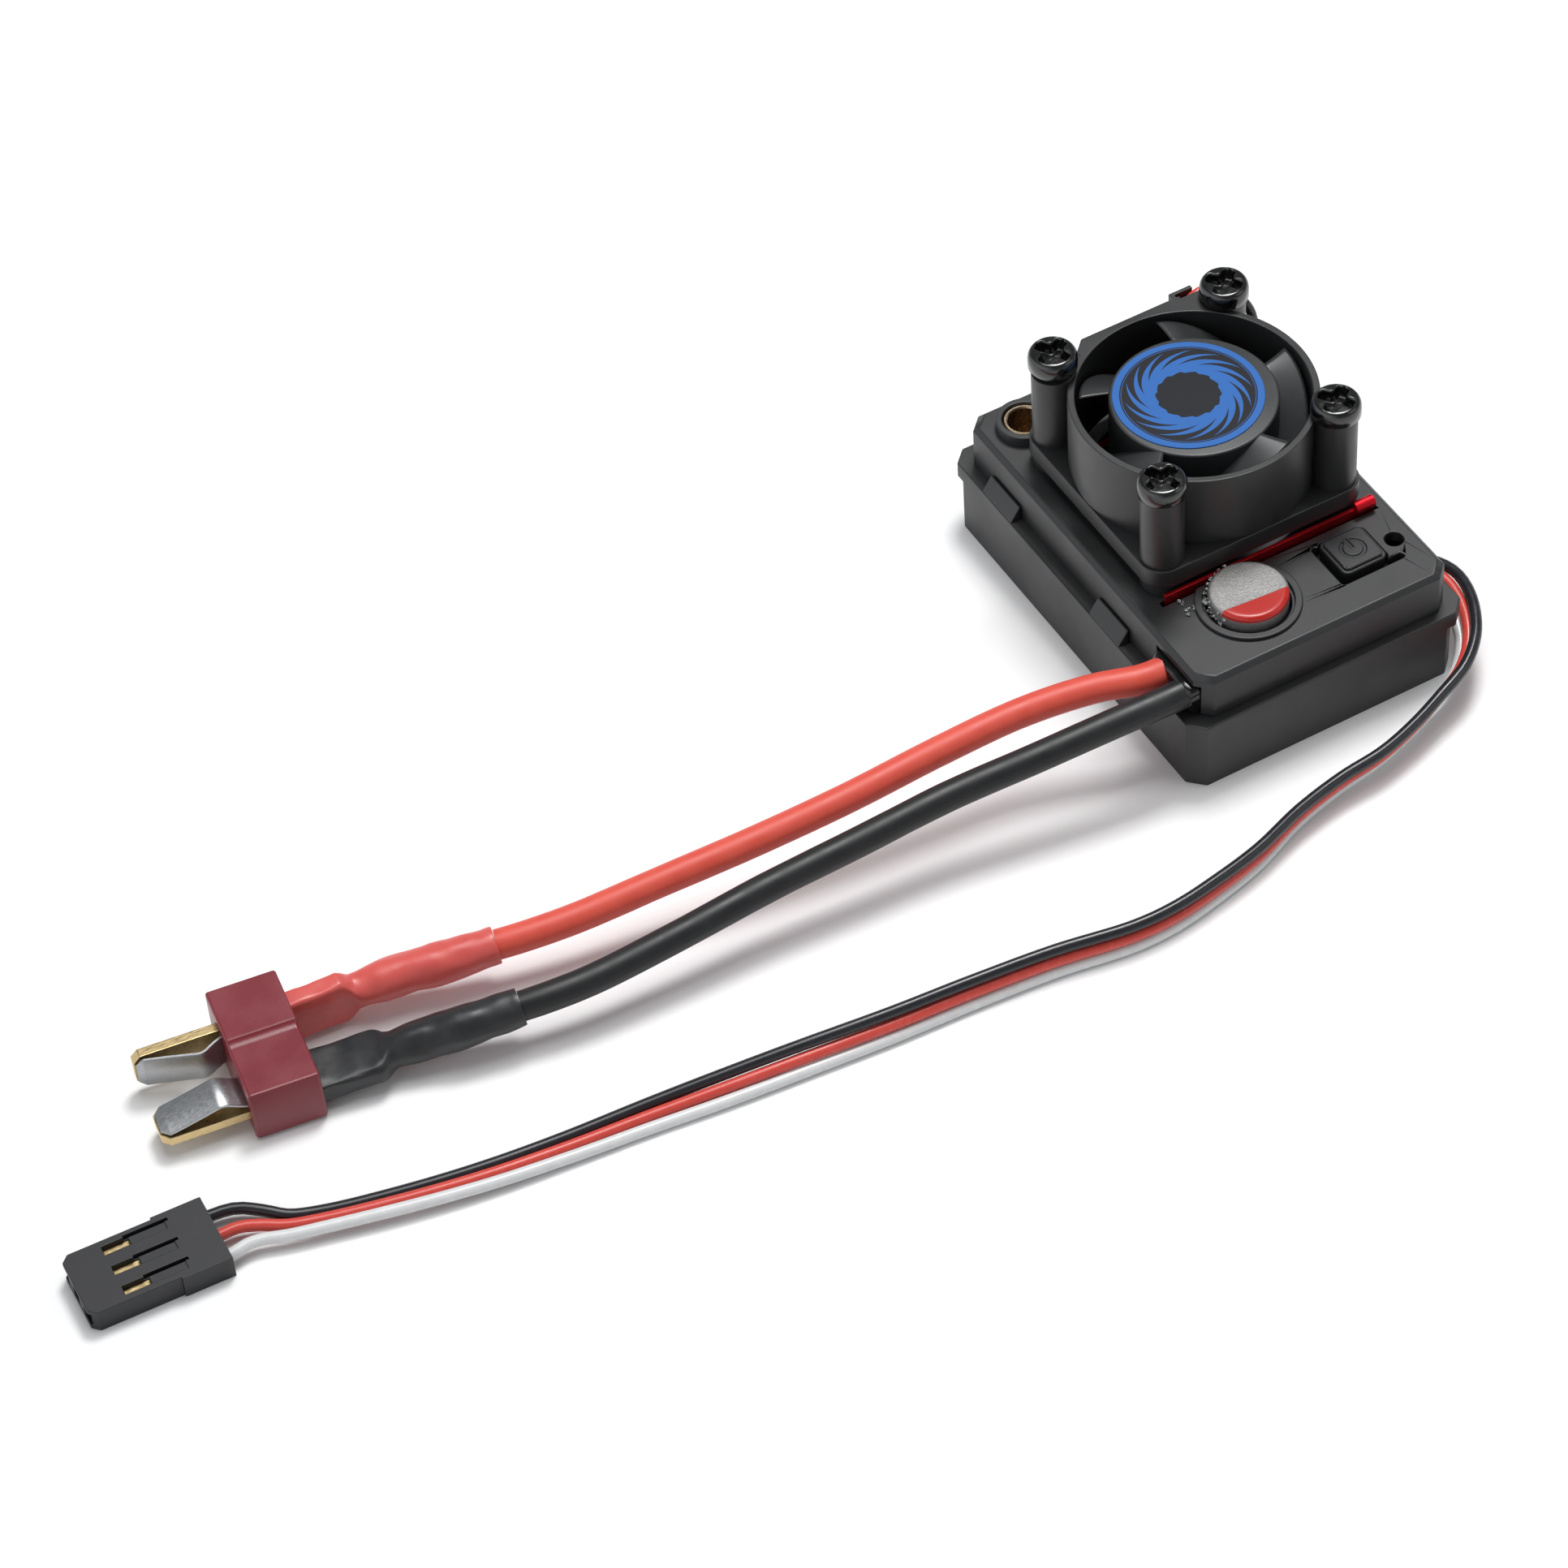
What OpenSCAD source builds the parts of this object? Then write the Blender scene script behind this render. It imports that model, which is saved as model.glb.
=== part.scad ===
// Electronic speed controller for a small electric car: snap-together case with a
// heat sink, a cooling fan on top, battery leads with a T-plug and a receiver lead.
// Origin: centre of the case underside. +Z up, case length along Y, millimetres.

/* [Case] */
// Width of the case across its rim
case_w = 32; // [31:0.5:36]
// Length of the case along its rim
case_l = 46; // [46:0.5:52]
// Height of the deck above the table
deck_z = 13.3; // [13:0.1:15]

/* [Fan] */
// Side of the square fan base
fan_w = 25; // [24.8:0.1:25.2]
// Distance between neighbouring fan screws
fan_pitch = 20; // [19.8:0.1:20]
// Height of the fan from base to shroud lip
fan_h = 10.7; // [10:0.1:12]

/* [Power side] */
// Bore of the three motor sockets
socket_bore = 3.5; // [3:0.1:3.6]
// Diameter of the capacitor can
can_d = 8; // [6.3:0.1:8]
// Diameter of the battery leads
lead_d = 3; // [2.4:0.1:3]
// Width of the T-plug housing
tplug_w = 14; // [13:0.5:16]

/* [Receiver side] */
// Diameter of each receiver wire
wire_d = 1.2; // [1:0.1:1.2]
// Length of the receiver plug
rxplug_l = 14; // [13:0.5:15]

/* [Hidden] */
$fn = 64;
eps = 0.01;

// Case: the rim overhangs the tub at the back and right, the cover stands inside it
rim_z = 8.2;
rim_t = 1.9;
corner_cut = 1.5;
far_inset = 1;
ledge = 1.4;
floor_t = 1.4;
cavity_w = case_w - 5.2;
cavity_front = -case_l / 2 + 2;
cavity_back = case_l / 2 - 2.4;
cover_w = case_w - 2 * ledge;
cover_l = case_l - 2;
cover_wall = 1.4;
deck_t = 1.3;
deck_under = deck_z - deck_t;
edge_bevel = 0.5;
tongue_t = 0.9;
tongue_gap = 0.1;
tongue_bottom = 7;
tongue_top = 8.8;
lug_l = 5.5;
lug_h = 1.7;
lug_centres = [13.9, -6.4];

// Boards
board_z = 2.6;
board_t = 1;
board_top = board_z + board_t;
board_w = cavity_w - 1.2;
control_z = 7.6;
control_t = 0.8;
control_top = control_z + control_t;
control_box = [1.2, 12.1, cavity_front + 1.5, -12.4];

// Heat sink
sink_base_z = 5.4;
sink_base_t = 1.8;
sink_base_top = sink_base_z + sink_base_t;
sink_w = 24.4;
fin_t = 0.8;
fin_pitch = 2.4;
fin_count = 8;
fin_top = deck_z + 0.9;
fin_reach = 10.4;
lip_t = 0.4;
lip_top = deck_z + 1;
lip_gap = 0.1;
lip_slot = 0.15;
lip_left = -11.5;
lip_right = 12.8;
lip_foot_right = 12;
lip_foot_top = 9.2;
bead_d = 1.3;
bead_l = 2.2;

// Fan
fan_x = 0;
fan_y = 2.2;
fan_gap = 1.3;
fan_z = deck_z + fan_gap;
plate_t = 2.2;
plate_r = 2.5;
plate_top = fan_z + plate_t;
shroud_od = fan_w - 0.2;
shroud_id = shroud_od - 1.5;
shroud_top = fan_z + fan_h;
post_d = 4.4;
post_top = shroud_top + 0.2;
screw_d = 2;
screw_hole = screw_d + 0.1;
head_d = 5;
head_h = 1.9;
recess_w = 1;
recess_turn = 19;
head_gap = 0.07;
screw_tip = sink_base_z + 0.1;
screw_lift = [0, 0.8, 0, 0];
hub_d = 16.8;
hub_wall = 0.8;
hub_bottom = plate_top + 0.2;
hub_top = shroud_top - 0.4;
magnet_t = 0.65;
blade_count = 5;
blade_tip_r = shroud_id / 2 - 0.35;
blade_t = 0.8;
blade_sweep = 42;
blade_bottom = hub_bottom + 0.3;
blade_top = hub_top - 0.4;
shaft_d = 1.5;
shaft_gap = 0.03;
bearing_d = 3.2;
tube_d = 4.4;
tube_top = fan_z + 7;
spider_t = 0.8;
spider_d = 15;
stator_d = 13.2;
stator_z = fan_z + 2.2;
stator_t = 3.2;
label_t = 0.12;
label_shift = [-0.4, 0.3];
wire_box = [4, 1.6, 5.7];
wire_box_top = shroud_top - 0.5;
wire_channel = [3, 1.1, 5.1];
wire_exit = 2.8;

// Motor sockets
socket_od = socket_bore + 0.9;
socket_pitch = 10.1;
socket_y = 17.75;
socket_top = deck_z + 1;
socket_depth = 9;
collar_d = socket_od + 1.5;
collar_top = deck_z + 1.2;
slip = 0.1;

// Capacitor
can_at = [-4.6, -14.9];
can_top = deck_z + 1.8;
can_bottom = board_top + 0.8;
can_wall = 0.3;
can_round = 0.5;

// Power button and light
button_at = [7.7, -14.7];
button_w = 5.1;
button_top = deck_z + 0.6;
button_gap = 0.15;
button_slot = 0.75;
button_travel = 0.5;
button_r = 0.8;
catch_w = 0.5;
catch_t = 0.6;
plunger_d = 2.2;
switch_w = 4.6;
switch_h = 2.2;
led_at = [12.1, -15.4];
led_hole_d = 1.9;

// Battery leads: where they leave the case
lead_z = 10.4;
lead_red_y = -15.8;
lead_black_y = -19.4;
notch_y0 = -21;
notch_y1 = -14;
lead_in_x = -12.4;

// Battery leads: hand-laid routes from the solder posts to the heat-shrink sleeves
red_route = [
    [lead_in_x, lead_red_y, lead_z], [-17, lead_red_y, lead_z], [-22, -14, 10.1],
    [-29, -12.4, 9.4], [-38, -11.8, 8.6], [-48, -11.5, 7.6], [-58, -10.8, 6.7],
    [-68, -9.8, 5.9], [-77, -8.9, 5.2], [-82.6, -7.9, 4.85], [-84.5, -7.4, 4.7]
];
black_route = [
    [lead_in_x, lead_black_y, lead_z], [-17, lead_black_y, lead_z], [-23, -18.9, 10],
    [-31, -18, 9.1], [-40, -17, 8.2], [-50, -16.7, 7.3], [-60, -16.4, 6.5],
    [-70, -16.5, 5.7], [-79, -16.3, 5], [-84.1, -15.65, 4.7], [-86, -15.2, 4.5]
];
sleeve_d = 4;
red_sleeve_end = [-99.2, -3.7, 3.4];
black_sleeve_end = [-99.4, -12, 3.2];

// Fan wires: from the wire box, around the back post, down into the deck
fan_wire_d = 1;
fan_wire_hole = [12.3, 14];
fan_wire_hole_d = 2.5;
fan_red_route = [
    [7.2, 14.9, 20.3], [7.2, 14.9, 22.8], [7.7, 14.9, 23.9], [8.9, 15, 24.3],
    [10.3, 15.3, 24.1], [11.5, 15.6, 23.3], [12.1, 15.8, 21.8], [12.3, 15.6, 19.5],
    [12.2, 15, 17], [12, 14.6, 14.4], [11.9, 14.45, 12.3], [11.4, 14.7, 10.6],
    [10.7, 14.85, 9], [10.6, 14.85, 7], [10.6, 14.85, board_top]
];
fan_black_route = [
    [8.4, 14.9, 20.3], [8.4, 14.9, 21.6], [9.1, 14.9, 22.7], [10.6, 14.95, 23],
    [12, 14.6, 22.8], [13.2, 13.9, 21.9], [14, 13.4, 20.3], [14.2, 13.1, 18.2],
    [13.7, 13, 16], [12.95, 13.3, 13.9], [12.65, 13.6, 12.3], [12.3, 14, 10.6],
    [11.9, 14.7, 9], [11.9, 15, 7], [11.9, 15, board_top]
];

// T-plug
tplug_at = [-108.7, -6.6];
tplug_turn = 172;
tplug_l = 7;
tplug_t = 6.5;
blade_w = 4;
blade_plate_t = 1;
blade_reach = 8.5;
tab_reach = 3.5;
blade_y = 0.25 * tplug_w;
spring_t = 0.3;
spring_w = 3.4;
spring_bow = 1.5;
lower_blade_z = 2.2;

// Receiver wires: route of the middle wire, ribbon turn at each point, spread at the plug
ribbon_pitch = 1.25;
contact_pitch = 2.54;
header_x = 12;
ribbon_route = [
    [header_x, -13.5, 5.2], [15.2, -13.5, 5.2], [17, -14.3, 5.2], [17.9, -16.2, 5.1],
    [17.8, -18.7, 4.9], [16.95, -21.4, 4.6], [15.4, -24, 4.2], [12.8, -26.3, 3.7],
    [9, -27.9, 3.1], [5, -29.4, 2.7], [0.6, -30.6, 2.4], [-4.6, -31.2, 2.1],
    [-10.2, -32.5, 1.95], [-16.2, -34.7, 1.87], [-21.7, -36, 1.87], [-26.8, -36.8, 1.86],
    [-31.4, -36.8, 1.85], [-39.6, -35.4, 1.83], [-48, -34.5, 1.8], [-56.5, -33.8, 1.73],
    [-64.8, -32.8, 1.58], [-72.9, -31.7, 1.25], [-80.9, -30.5, 0.84], [-89, -29.6, 0.7],
    [-97, -28.6, 0.84], [-104.7, -27.1, 0.95], [-112.1, -25.2, 1], [-115.4, -24.1, 1.1],
    [-117.5, -22.9, 1.25], [-119.4, -22.12, 1.35], [-121.4, -22.02, 1.35]
];
// The ribbon leaves flat, stands on its edge along the table and lies flat at the plug
ribbon_turn = [0, 0, 8, 20, 36, 48, 57, 62, 66, 68, 70, 75, 80, 88, 93, 97, 100, 105, 110, 118,
    130, 150, 170, 183, 190, 195, 195, 190, 184, 181, 180];
ribbon_spread = [for (i = [0 : len(ribbon_route) - 1]) i < 27 ? 1 : [1.12, 1.45, 1.85, 2.03][i - 27]];

// Receiver plug
rxplug_at = [-128.4, -21.65];
rxplug_turn = 177;
rxplug_t = 2.7;
rxplug_w = 7.5;
rxplug_rear_w = 8;
rxplug_rear_l = 5;
latch_tip = 0.6;
latch_l = 3.6;
latch_w = 1;
latch_window = 2.6;
latch_sink = 0.12;
latch_slot = 0.22;

fan_corners = [for (sx = [-1, 1], sy = [-1, 1]) [fan_x + sx * fan_pitch / 2, fan_y + sy * fan_pitch / 2]];
socket_xs = [for (i = [-1 : 1]) i * socket_pitch];

function unit(v) = v / norm(v);

// Direction of travel at point i of a route
function heading(route, i) =
    let (a = route[max(i - 1, 0)], b = route[min(i + 1, len(route) - 1)]) unit(b - a);

// Route shifted sideways by its own distance at each point, turned about the route
function shifted(route, turn, amount) = [
    for (i = [0 : len(route) - 1])
        let (t = heading(route, i), side = unit(cross([0, 0, 1], t)))
            route[i] + amount[i] * (side * cos(turn[i]) + [0, 0, 1] * sin(turn[i]))
];

// Round tube along a route, one ring of points at each route point
module tube(route, d, sides = 8, reference = [0, 0, 1]) {
    count = len(route);
    rings = [
        for (i = [0 : count - 1])
            let (
                t = heading(route, i),
                u = unit(cross(reference, t)),
                v = cross(t, u)
            )
            for (k = [0 : sides - 1])
                let (a = (k + 0.5) * 360 / sides)
                    route[i] + d / 2 * (u * cos(a) + v * sin(a))
    ];
    walls = [
        for (i = [0 : count - 2], k = [0 : sides - 1])
            let (
                m = (k + 1) % sides,
                near = i * sides,
                far = near + sides
            )
                each [[near + k, far + k, far + m], [near + k, far + m, near + m]]
    ];
    ends = [
        [for (k = [0 : sides - 1]) k],
        [for (k = [0 : sides - 1]) count * sides - 1 - k]
    ];
    polyhedron(rings, concat(walls, ends), convexity = 8);
}

// Flat plate with cut corners between two x and two y limits
module cut_plate(x0, x1, y0, y1, cut, h) {
    linear_extrude(h)
        polygon([
            [x0 + cut, y0], [x1 - cut, y0], [x1, y0 + cut], [x1, y1 - cut],
            [x1 - cut, y1], [x0 + cut, y1], [x0, y1 - cut], [x0, y0 + cut]
        ]);
}

// Square plate with rounded corners, centred
module round_plate(w, l, r, h) {
    linear_extrude(h)
        union() {
            square([w - 2 * r, l], center = true);
            square([w, l - 2 * r], center = true);
            for (sx = [-1, 1], sy = [-1, 1])
                translate([sx * (w / 2 - r), sy * (l / 2 - r)]) circle(r);
        }
}

module box(from, to) {
    translate(from) cube(to - from);
}

module pipe(od, id, h) {
    difference() {
        cylinder(h = h, d = od);
        translate([0, 0, -1]) cylinder(h = h + 2, d = id);
    }
}

// Round bar between two points
module bar(from, to, d) {
    v = to - from;
    translate(from)
        rotate([0, acos(v[2] / norm(v)), atan2(v[1], v[0])])
            cylinder(h = norm(v), d = d);
}

module at_tplug() {
    translate([tplug_at[0], tplug_at[1], 0]) rotate([0, 0, tplug_turn]) children();
}

module at_rxplug() {
    translate([rxplug_at[0], rxplug_at[1], 0]) rotate([0, 0, rxplug_turn]) children();
}

module bottom_case() color("#2e2f30") {
    difference() {
        union() {
            cut_plate(
                -case_w / 2, case_w / 2 - far_inset, -case_l / 2, case_l / 2 - far_inset,
                corner_cut, rim_z - rim_t
            );
            translate([0, 0, rim_z - rim_t])
                cut_plate(-case_w / 2, case_w / 2, -case_l / 2, case_l / 2, corner_cut, rim_t);
        }
        translate([0, 0, floor_t])
            cut_plate(-cavity_w / 2, cavity_w / 2, cavity_front, cavity_back, 1, rim_z);
        // opening for the receiver ribbon, just under the rim
        box([cavity_w / 2 - 1, -15.6, 4.5], [case_w / 2 + 1, -11.4, 5.9]);
    }
    // pegs under the power board
    for (sx = [-1, 1], y = [cavity_front + 2.4, cavity_back - 2.4])
        translate([sx * (cavity_w / 2 - 2.4), y, floor_t - eps])
            cylinder(h = board_z - floor_t + eps, d = 3);
    // snap lugs: ramps on the ledge that lean on the cover wall
    for (turn = [0, 180], y = lug_centres)
        rotate([0, 0, turn])
            translate([0, (turn == 0 ? 1 : -1) * y + lug_l / 2, rim_z - eps])
                rotate([90, 0, 0])
                    linear_extrude(lug_l)
                        polygon([
                            [cover_w / 2 + slip, 0], [case_w / 2 - 0.1, 0], [case_w / 2 - 0.1, 0.15],
                            [cover_w / 2 + slip + 0.2, lug_h], [cover_w / 2 + slip, lug_h]
                        ]);
}

module deck_openings() {
    translate([fan_x, fan_y, deck_under - 1]) cylinder(h = 4, r = fin_reach + 0.5);
    box(
        [lip_left - 0.4, sink_front() - lip_slot, deck_under - 1],
        [lip_right + 0.4, sink_front() + lip_t + lip_gap, deck_z + 1]
    );
    for (p = fan_corners)
        translate([p[0], p[1], deck_under - 1]) cylinder(h = 4, d = screw_hole);
    translate([can_at[0], can_at[1], deck_under - 1]) cylinder(h = 4, d = can_d + 0.4);
    translate([led_at[0], led_at[1], deck_under - 1]) cylinder(h = 4, d = led_hole_d);
    translate([fan_wire_hole[0], fan_wire_hole[1], deck_under])
        cylinder(h = 4, d = fan_wire_hole_d);
    translate([button_at[0], button_at[1], deck_under - 1]) {
        round_plate(button_w + 2 * button_gap, button_w + 2 * button_gap, button_r, 4);
        // clearance slots along the left and front of the button
        translate([-button_w / 2 - button_slot / 2, -button_slot / 2, 0])
            round_plate(button_slot, button_w + button_slot, button_slot / 2 - eps, 4);
        translate([button_slot / 2, -button_w / 2 - button_slot / 2, 0])
            round_plate(button_w + 3 * button_slot, button_slot, button_slot / 2 - eps, 4);
        translate([-button_w / 2 - eps, -button_w / 2 - eps, 0]) cube([button_slot, button_slot, 4]);
    }
}

module top_cover() color("#303132") {
    difference() {
        union() {
            hull() {
                translate([0, 0, rim_z]) cover_outline(0, deck_z - edge_bevel - rim_z);
                translate([0, 0, rim_z]) cover_outline(edge_bevel, deck_z - rim_z);
            }
            for (x = socket_xs)
                translate([x, socket_y, deck_under]) cylinder(h = collar_top - deck_under, d = collar_d);
            translate([can_at[0], can_at[1], deck_under])
                cylinder(h = deck_t + 0.4, d = can_d + 2.6);
        }
        // inside of the cover
        translate([0, 0, rim_z - 1])
            cut_plate(
                -cover_w / 2 + cover_wall, cover_w / 2 - cover_wall,
                cavity_front, cavity_back, 1, deck_under - rim_z + 1
            );
        box([-cover_w, notch_y0, rim_z - 1], [-cover_w / 2 + 2.4, notch_y1, deck_under]);
        for (x = socket_xs)
            translate([x, socket_y, rim_z]) cylinder(h = 10, d = socket_od + 2 * slip);
        translate([can_at[0], can_at[1], deck_z])
            cylinder(h = 2, d = can_d + 1);
        deck_openings();
    }
    // tongue that drops inside the tub
    difference() {
        translate([0, 0, tongue_bottom])
            cut_plate(
                -cavity_w / 2 + tongue_gap, cavity_w / 2 - tongue_gap,
                cavity_front + tongue_gap, cavity_back - tongue_gap,
                1, tongue_top - tongue_bottom
            );
        translate([0, 0, tongue_bottom - 1])
            cut_plate(
                -cavity_w / 2 + tongue_t, cavity_w / 2 - tongue_t,
                cavity_front + tongue_t, cavity_back - tongue_t,
                0.8, tongue_top - tongue_bottom + 2
            );
        box([-cover_w, notch_y0, tongue_bottom - 1], [-cover_w / 2 + 4, notch_y1, deck_under]);
        for (x = socket_xs)
            translate([x, socket_y, tongue_bottom - 1]) cylinder(h = 4, d = socket_od + 2 * slip);
    }
    // fan standoffs, from the heat sink up to the fan base
    for (p = fan_corners)
        translate([p[0], p[1], sink_base_top]) pipe(post_d, screw_hole, fan_z - sink_base_top);
}

module cover_outline(inset, h) {
    cut_plate(
        -cover_w / 2 + inset, cover_w / 2 - inset, -cover_l / 2 + inset, cover_l / 2 - inset,
        corner_cut, h
    );
}

// The lip stands just in front of the fan base
function sink_front() = fan_y - fan_w / 2 - lip_gap - lip_t;

module heat_sink() color("#a3202a") {
    difference() {
        box([fan_x - sink_w / 2, sink_front(), sink_base_z], [fan_x + sink_w / 2, fan_y + 11, sink_base_top]);
        for (p = fan_corners)
            translate([p[0], p[1], sink_base_z - 1]) cylinder(h = 4, d = screw_hole);
    }
    intersection() {
        translate([fan_x, fan_y, 0]) cylinder(h = fin_top, r = fin_reach);
        for (i = [0 : fin_count - 1])
            translate([fan_x, fan_y + (i - (fin_count - 1) / 2) * fin_pitch, (sink_base_top + fin_top) / 2])
                cube([2 * fin_reach, fin_t, fin_top - sink_base_top + 2 * eps], center = true);
    }
    // front lip that shows above the deck, with a rolled end
    box([lip_left, sink_front(), sink_base_top - eps], [lip_foot_right, sink_front() + lip_t, lip_foot_top]);
    box([lip_left, sink_front(), lip_foot_top - eps], [lip_right, sink_front() + lip_t, lip_top]);
    translate([lip_right - bead_l, sink_front() + 0.2, lip_top])
        rotate([0, 90, 0])
            difference() {
                cylinder(h = bead_l, d = bead_d, $fn = 32);
                translate([0, 0.9, -1]) cylinder(h = bead_l + 2, d = bead_d, $fn = 32);
            }
}

module thermal_pad() color("#9aa3b5")
    box([-11, -7.6, board_top + 1.1], [11, 11, sink_base_z]);

module power_board() color("#1f4d2e") {
    difference() {
        box([-board_w / 2, cavity_front + 0.6, board_z], [board_w / 2, cavity_back - 0.6, board_top]);
        for (s = [-1, 1])
            translate([can_at[0] + s * 1.75, can_at[1], board_z - 1]) cylinder(h = 3, d = 0.8);
    }
}

module power_transistors() color("#1d1e20")
    for (x = [-8, 0, 8], y = [-4, 6])
        translate([x, y, board_top + 0.55]) cube([5, 6, 1.1], center = true);

module driver_chips() color("#222326")
    for (x = [-8, 0, 8])
        translate([x, -9.4, board_top + 0.4]) cube([3, 3, 0.8], center = true);

module control_board() color("#1f4d2e")
    box([control_box[0], control_box[2], control_z], [control_box[1], control_box[3], control_top]);

module controller_chip() color("#1c1d1f")
    translate([5.4, -16.2, control_z - 0.45]) cube([3.6, 3, 0.9], center = true);

module board_pins() color("#c9a24a")
    for (i = [0 : 4])
        translate([2.2 + 2 * i, cavity_front + 2, (board_top + control_z) / 2])
            cube([0.6, 0.6, control_z - board_top], center = true);

module button_switch() color("#3a3a3c") {
    difference() {
        translate([button_at[0], button_at[1], control_top + switch_h / 2])
            cube([switch_w, switch_w, switch_h], center = true);
        translate([button_at[0], button_at[1], control_top + 0.5])
            cylinder(h = switch_h, d = plunger_d + 2 * 0.08);
    }
}

module switch_plunger() color("#8a6a3a")
    translate([button_at[0], button_at[1], control_top + 0.5 + button_travel + 0.1])
        cylinder(h = button_catch_z() - control_top - 0.6 - button_travel, d = plunger_d);

function button_catch_z() = deck_under - 0.05 - catch_t;

module power_button() color("#29292b") {
    translate([button_at[0], button_at[1], 0]) {
        difference() {
            translate([0, 0, deck_under - 0.2]) {
                round_plate(button_w, button_w, button_r, button_top - deck_under - 0.1);
                round_plate(button_w - 0.6, button_w - 0.6, button_r - 0.2, button_top - deck_under + 0.2);
            }
            power_mark(button_top - 0.15);
        }
        translate([0, 0, button_catch_z()])
            round_plate(button_w + 2 * catch_w, button_w + 2 * catch_w, button_r, catch_t);
    }
}

// Ring with a gap and a bar, sunk into the button
module power_mark(z) {
    difference() {
        translate([0, 0, z]) pipe(2.6, 2.1, 1);
        translate([0, 1.3, z]) cube([0.9, 1.4, 3], center = true);
    }
    translate([0, 0.75, z + 0.5]) cube([0.25, 1.3, 1], center = true);
}

module status_led() color("#e8e4d8")
    translate([led_at[0] - 0.4, led_at[1], control_top]) {
        translate([-1, -0.8, 0]) cube([1.6, 1.6, 1.1]);
        translate([-0.2, 0, 0]) cylinder(h = 1.5, d = 1.2);
    }

module capacitor_can() color("#9a9896")
    translate([can_at[0], can_at[1], can_bottom])
        rotate_extrude($fn = 96)
            polygon([
                [0, can_top - can_bottom - can_wall], [can_d / 2 - can_wall, can_top - can_bottom - can_wall],
                [can_d / 2 - can_wall, 0], [can_d / 2, 0],
                [can_d / 2, can_top - can_bottom - can_round],
                [can_d / 2 - 0.15, can_top - can_bottom - 0.15],
                [can_d / 2 - can_round, can_top - can_bottom], [0, can_top - can_bottom]
            ]);

module capacitor_seal() color("#2a2a2a")
    translate([can_at[0], can_at[1], board_top]) {
        difference() {
            union() {
                cylinder(h = 0.8, d = can_d - 0.4);
                translate([0, 0, 0.8 - eps]) cylinder(h = 1.4, d = can_d - 2 * can_wall);
            }
            for (s = [-1, 1])
                translate([s * 1.75, 0, -1]) cylinder(h = 4, d = 0.6, $fn = 24);
        }
    }

module capacitor_legs() color("#c8c8c8")
    for (s = [-1, 1])
        translate([can_at[0] + s * 1.75, can_at[1], board_z - 0.6])
            cylinder(h = board_t + 2.4, d = 0.6, $fn = 24);

module capacitor_glue() color("#d8dcdc")
    for (p = [[-10, -11.9, 0.9], [-10.2, -12.9, 0.6]])
        translate([p[0], p[1], deck_z])
            intersection() {
                sphere(p[2] * 0.7, $fn = 24);
                translate([-2, -2, 0]) cube(4);
            }

module motor_sockets() color("#c79a4b")
    for (x = socket_xs)
        translate([x, socket_y, board_top]) {
            difference() {
                cylinder(h = socket_top - board_top, d = socket_od);
                translate([0, 0, socket_top - board_top - socket_depth])
                    cylinder(h = socket_depth + 1, d = socket_bore);
            }
        }

module battery_terminals() color("#b87333")
    for (y = [lead_red_y, lead_black_y])
        box([lead_in_x, y - 1.2, board_top], [lead_in_x + 1.2, y + 1.2, lead_z + 1.3]);

module lead_seal() color("#161617") {
    difference() {
        box([-cover_w / 2 - 0.3, notch_y0 + 0.05, rim_z], [lead_in_x - 0.3, notch_y1 - 0.05, deck_under]);
        for (y = [lead_red_y, lead_black_y])
            translate([-cover_w, y, lead_z]) rotate([0, 90, 0]) cylinder(h = cover_w, d = lead_d);
    }
}

module receiver_header() color("#e6e2d4")
    box([header_x - 3, -15.6, board_top], [header_x, -11.4, 6.4]);

module receiver_lead_seal() color("#19191a") {
    difference() {
        box([cavity_w / 2 - 0.2, -15.6, 4.5], [case_w / 2 - far_inset, -11.4, 5.9]);
        for (i = [-1 : 1])
            translate([header_x, -13.5 + i * ribbon_pitch, 5.2])
                rotate([0, 90, 0]) cylinder(h = 8, d = wire_d, $fn = 24);
    }
}

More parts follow.
